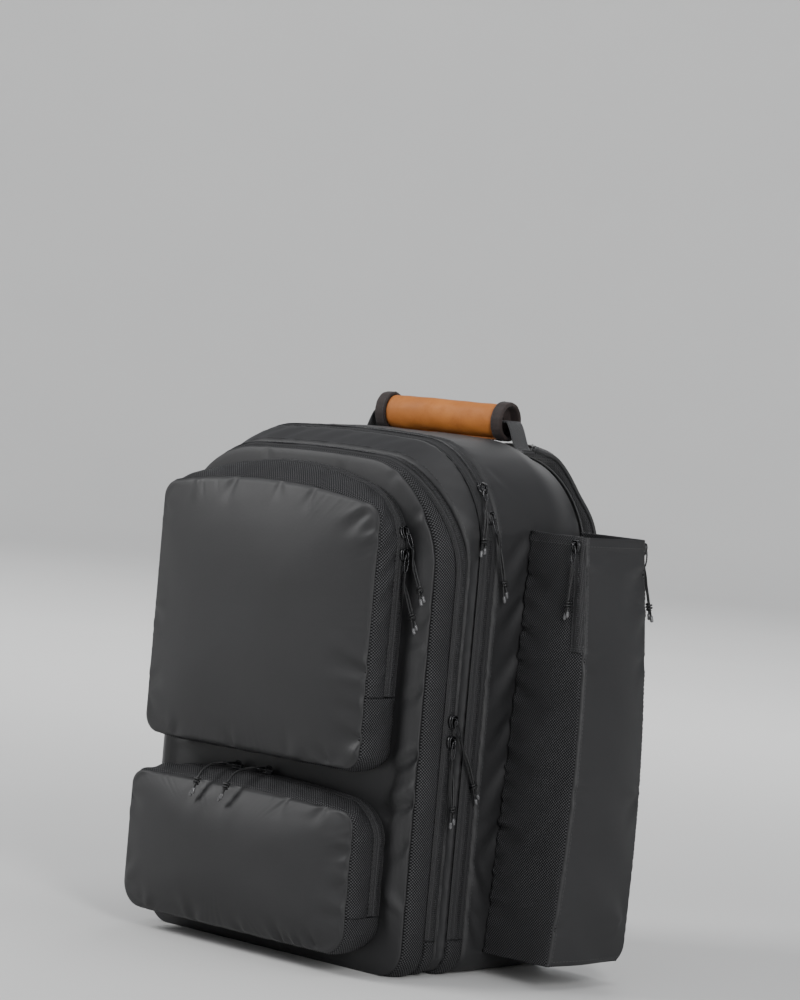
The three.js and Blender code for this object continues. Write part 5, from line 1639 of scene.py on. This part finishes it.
def boundEnd(side, word):
    # an edge bound over the end of the wrap and turned in: distance out of the end, share of the half height
    h = handle
    first = h["length"] / 2 - 0.8
    rows = np.array([(-0.6, 0.92), (-0.2, 1.0), (0.6, 1.035), (3, 1.04), (7.5, 1.04), (11.2, 1.03),
                     (12.7, 0.98),
                     (13, 0.9), (12.2, 0.83), (10, 0.8), (6, 0.79), (2.5, 0.78), (1.5, 0.7), (1.3, 0.4),
                     (1.3, 0.2)])
    scale = np.array([1, h["height"] / 2, 1])
    profile = (spline(np.column_stack([rows, 0 * rows[:, 0]]) * scale, 60) / scale)[:, :2]
    turn = np.linspace(0, 2 * np.pi, 90, endpoint=False)
    lump = 1 + 0.010 * ripple(turn * 15, 9, 411 + side)[None] + 0.006 * ripple(turn * 15, 3, 413)[None]
    x = side * (first + profile[:, :1]) + 0 * turn[None]
    y = h["y"] + h["depth"] / 2 * profile[:, 1:] * np.cos(turn) * lump
    z = h["z"] + h["height"] / 2 * profile[:, 1:] * np.sin(turn) * lump
    gridPiece(f"bound_end_{word}", np.stack([x, y, z], -1), "binding", closeV=True, ends=True,
              replaces=f"handle_binding_{word}")
    rim = np.stack([0 * turn + side * (first + 1.6), y[12] * 1.0, z[12] * 1.0], 1)
    fromMiddle = rim - [rim[0, 0], h["y"], h["z"]]
    stitchLine(np.concatenate([rim, rim[:1]]), np.concatenate([fromMiddle, fromMiddle[:1]]), 3.4)


def handleWebbing():
    # level through the wrap, then down to the top of the bag on both sides, where it is sewn on
    h = handle
    away = np.concatenate([np.linspace(0, h["straight"], 40),
                           h["straight"] + h["foot"] * np.linspace(0.04, 1, 34)])
    share = np.clip((away - h["straight"]) / h["foot"], 0, 1)
    rest = topAt(h["y"], away) + h["webThick"] / 2 + 0.5
    z = rest + (h["z"] - rest) * smooth(1 - share / 0.8)
    half = np.stack([away, 0 * away + h["y"], z], 1)
    path = np.concatenate([half[:0:-1] * [-1, 1, 1], half])
    path = even(path, 200)
    ahead = unit(np.gradient(path, axis=0))
    across = np.tile([0.0, 1, 0], (len(path), 1))
    out = np.cross(ahead, across)
    ribbon("handle_loop", path, across, out, h["web"], h["webThick"], "webbing", "handle_webbing")
    for row in (1, 3, 196, 198):
        stitchLine(path[row] + np.linspace(-8, 8, 9)[:, None] * across[row] + out[row] * 1.3, out[row])


leatherWrap()
for sideSign, sideWord in ((1, "right"), (-1, "left")):
    boundEnd(sideSign, sideWord)
handleWebbing()
print("handle made")


# zip sliders: x across the tape, y along it, z out of it

slider = {
    "width": 8.5, "length": 12, "thick": 4.4, "bridgeWidth": 2.4, "bridgeHalf": 3.7, "bridgeRise": 3.3,
    "wire": 0.75, "pullHalfWidth": 3.2, "pullHalfLength": 9.5, "pullAt": -7.22, "pullRise": 5.65,
}
sliderPlaces = {
    # place, way out of the tape, way along it, turn of the pull
    "upper_pocket_slider_1": ((136.3, -109.4, 400.2), (0.953, 0, 0.304), (-0.304, 0, 0.953), 0.20),
    "upper_pocket_slider_2": ((138.3, -109.4, 380.8), (0.999, 0, 0.037), (-0.037, 0, 0.999), -0.10),
    "front_zip_slider_1": ((172.1, -62.5, 234.2), (1, 0, 0), (0, 0, 1), 0.50),
    "front_zip_slider_2": ((172.2, -62.5, 215.6), (1, 0, 0), (0, 0, 1), -0.05),
    "main_zip_slider_1": ((159.8, -36.4, 443.6), (0.84, 0, 0.543), (-0.543, 0, 0.84), -0.40),
    "main_zip_slider_2": ((171.3, -35.2, 419), (0.957, 0, 0.288), (-0.288, 0, 0.957), 0.15),
    "lower_pocket_slider_1": ((-5.9, -111, 162.3), (0, 0, 1), (-1, 0, 0), -1.57),
    "lower_pocket_slider_2": ((-46.9, -111, 161.5), (0, 0, 1), (-1, 0, 0), -1.57),
    "sleeve_slider_front": ((237.7, 13.8, 401), (0, -1, 0), (0, 0, 1), 0.05),
    "sleeve_slider_rear": ((237, 104.1, 401), (0, 1, 0), (0, 0, 1), -0.05),
}


def sliderGrids(turn):
    # two plates with a waist between them, an arched bridge over the top one and a wire loop hung from it
    s = slider
    q = np.linspace(0, 2 * np.pi, 48, endpoint=False)
    y = s["length"] / 2 * np.sign(np.sin(q)) * np.abs(np.sin(q)) ** 0.75
    wide = s["width"] / 2 * (0.72 + 0.28 * smooth((y / s["length"] + 0.42) / 0.5))
    x = wide * np.sign(np.cos(q)) * np.abs(np.cos(q)) ** 0.6
    rows = np.array([(0, 0.93), (0.25, 1), (1.2, 1), (1.45, 0.95), (1.6, 0.8), (2.6, 0.8), (2.8, 0.95),
                     (3.05, 1),
                     (4.0, 1), (4.3, 0.95), (4.4, 0.86)])
    plates = np.stack([rows[:, 1:] * x, rows[:, 1:] * y, rows[:, :1] + 0 * x], -1)
    t = np.linspace(-1, 1, 25)
    arch = np.stack([0 * t, s["bridgeHalf"] * t, s["thick"] - 0.3 + s["bridgeRise"] * (1 - t ** 4)], 1)
    bridge = tubeGrid(arch, s["bridgeWidth"] / 2, 12, (1, 0, 0), 0.5)
    ring = np.linspace(0, 2 * np.pi, 40, endpoint=False)
    loop = np.stack([(s["pullHalfWidth"] - s["wire"]) * np.cos(ring),
                     s["pullAt"] + (s["pullHalfLength"] - s["wire"]) * np.sin(ring),
                     0 * ring + s["pullRise"]], 1)
    ahead = unit(np.roll(loop, -1, 0) - np.roll(loop, 1, 0))
    side = np.cross(ahead, [0, 0, 1.0])
    small = np.linspace(0, 2 * np.pi, 10, endpoint=False)
    wire = loop[:, None] + s["wire"] * (np.cos(small)[None, :, None] * side[:, None]
                                        + np.sin(small)[None, :, None] * np.array([0, 0, 1.0]))
    turned = np.array([[math.cos(turn), math.sin(turn), 0], [-math.sin(turn), math.cos(turn), 0], [0, 0, 1]])
    return plates, bridge, wire @ turned


for sliderName, (place, out, ahead, pullTurn) in sliderPlaces.items():
    out, ahead = unit(np.array(out, float)), unit(np.array(ahead, float))
    basis = np.stack([np.cross(ahead, out), ahead, out])
    plates, bridge, wire = (part @ basis + np.array(place) + 0.3 * out for part in sliderGrids(pullTurn))
    gridPiece(f"{sliderName}_body", plates, "metal", closeV=True, ends=True, replaces=sliderName)
    gridPiece(f"{sliderName}_bridge", bridge, "metal", closeV=True, ends=True)
    gridPiece(f"{sliderName}_pull", wire, "metal", closeU=True, closeV=True)
print("sliders made")


# all stitches in one mesh, and the one solid that stays as it is

scatter("stitches", *(np.concatenate(thread[k]) for k in ("places", "ahead", "up")),
        (stitch["length"], stitch["thick"], stitch["thick"] * 0.7), "thread")
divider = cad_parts["divider_panel"]
divider.data.materials.clear()
divider.data.materials.append(materials["coated"])
print("stitches made")


# floor and light

def buildStage():
    # a flat floor that curves up far away all round: radius and height of a bowl's profile
    turn = np.linspace(0, 2 * np.pi, 97)[:-1]
    bend = np.linspace(0, np.pi / 2, 13)
    radius = np.concatenate([[0.01, 1500, 4000, 6500], 6500 + 2500 * np.sin(bend[1:])])
    height = np.concatenate([[0, 0, 0, 0], 2500 * (1 - np.cos(bend[1:]))])
    grid = np.stack([radius * np.cos(turn)[:, None], radius * np.sin(turn)[:, None],
                     height + 0 * turn[:, None]], -1)
    nu, nv = grid.shape[:2]
    i, j = (a.ravel() for a in np.meshgrid(np.arange(nu), np.arange(nv - 1), indexing="ij"))
    faces = np.stack([(a % nu) * nv + b for a, b in ((i, j), (i + 1, j), (i + 1, j + 1), (i, j + 1))], 1)
    floor = addMesh("studio_floor", grid.reshape(-1, 3), faces[:, ::-1].tolist())
    tree, shader, place = startMaterial("floor", (0.62, 0.62, 0.61, 1), 0.7)
    tint = noise(tree, place.outputs["Object"], 1.5, 2.0)
    tree.links.new(blendColour(tree, tint, (0.60, 0.60, 0.595, 1), (0.64, 0.64, 0.63, 1)),
                   shader.inputs["Base Color"])
    floor.data.materials.append(materials["floor"])


lights = {
    # place and target in metres, size, watts
    "key": {"place": (-1.9, -1.9, 2.2), "aim": (0, -0.1, 0.3), "size": (1.3, 1.3), "power": 85},
    "side": {"place": (2.5, -1.3, 1.3), "aim": (0.1, 0, 0.25), "size": (0.6, 1.7), "power": 60},
    "top": {"place": (0.5, 0.4, 2.7), "aim": (0, 0, 0.3), "size": (1.5, 1.5), "power": 20},
    "back": {"place": (-1.2, 2.4, 1.8), "aim": (0, 0, 0.3), "size": (1.2, 1.2), "power": 12},
}
for quarter in range(4):
    # one light for each quarter of the backdrop, above the picture and turned away from the bag
    way = np.array([math.cos(0.8 + quarter * math.pi / 2), math.sin(0.8 + quarter * math.pi / 2)])
    lights[f"backdrop_{quarter + 1}"] = {
        "place": (*(2.2 * way), 3.6), "aim": (*(8.5 * way), 0.6), "size": (3.0, 1.2), "power": 260,
    }


def buildLights():
    for name, l in lights.items():
        data = bpy.data.lights.new(name, "AREA")
        data.shape = "RECTANGLE"
        data.size, data.size_y = l["size"]
        data.energy = l["power"]
        lamp = bpy.data.objects.new(name, data)
        bpy.context.scene.collection.objects.link(lamp)
        back = unit(np.array(l["place"], float) - np.array(l["aim"], float))
        level = unit(np.cross([0, 0, 1], back))
        turned = np.eye(4)
        turned[:3] = np.stack([level, np.cross(back, level), back, l["place"]], 1)
        lamp.matrix_world = Matrix(turned.tolist())
    world = bpy.data.worlds.new("studio")
    world.use_nodes = True
    world.node_tree.nodes["Background"].inputs["Color"].default_value = (0.93, 0.95, 1, 1)
    world.node_tree.nodes["Background"].inputs["Strength"].default_value = 0.4
    bpy.context.scene.world = world


buildStage()
buildLights()
print("stage built")
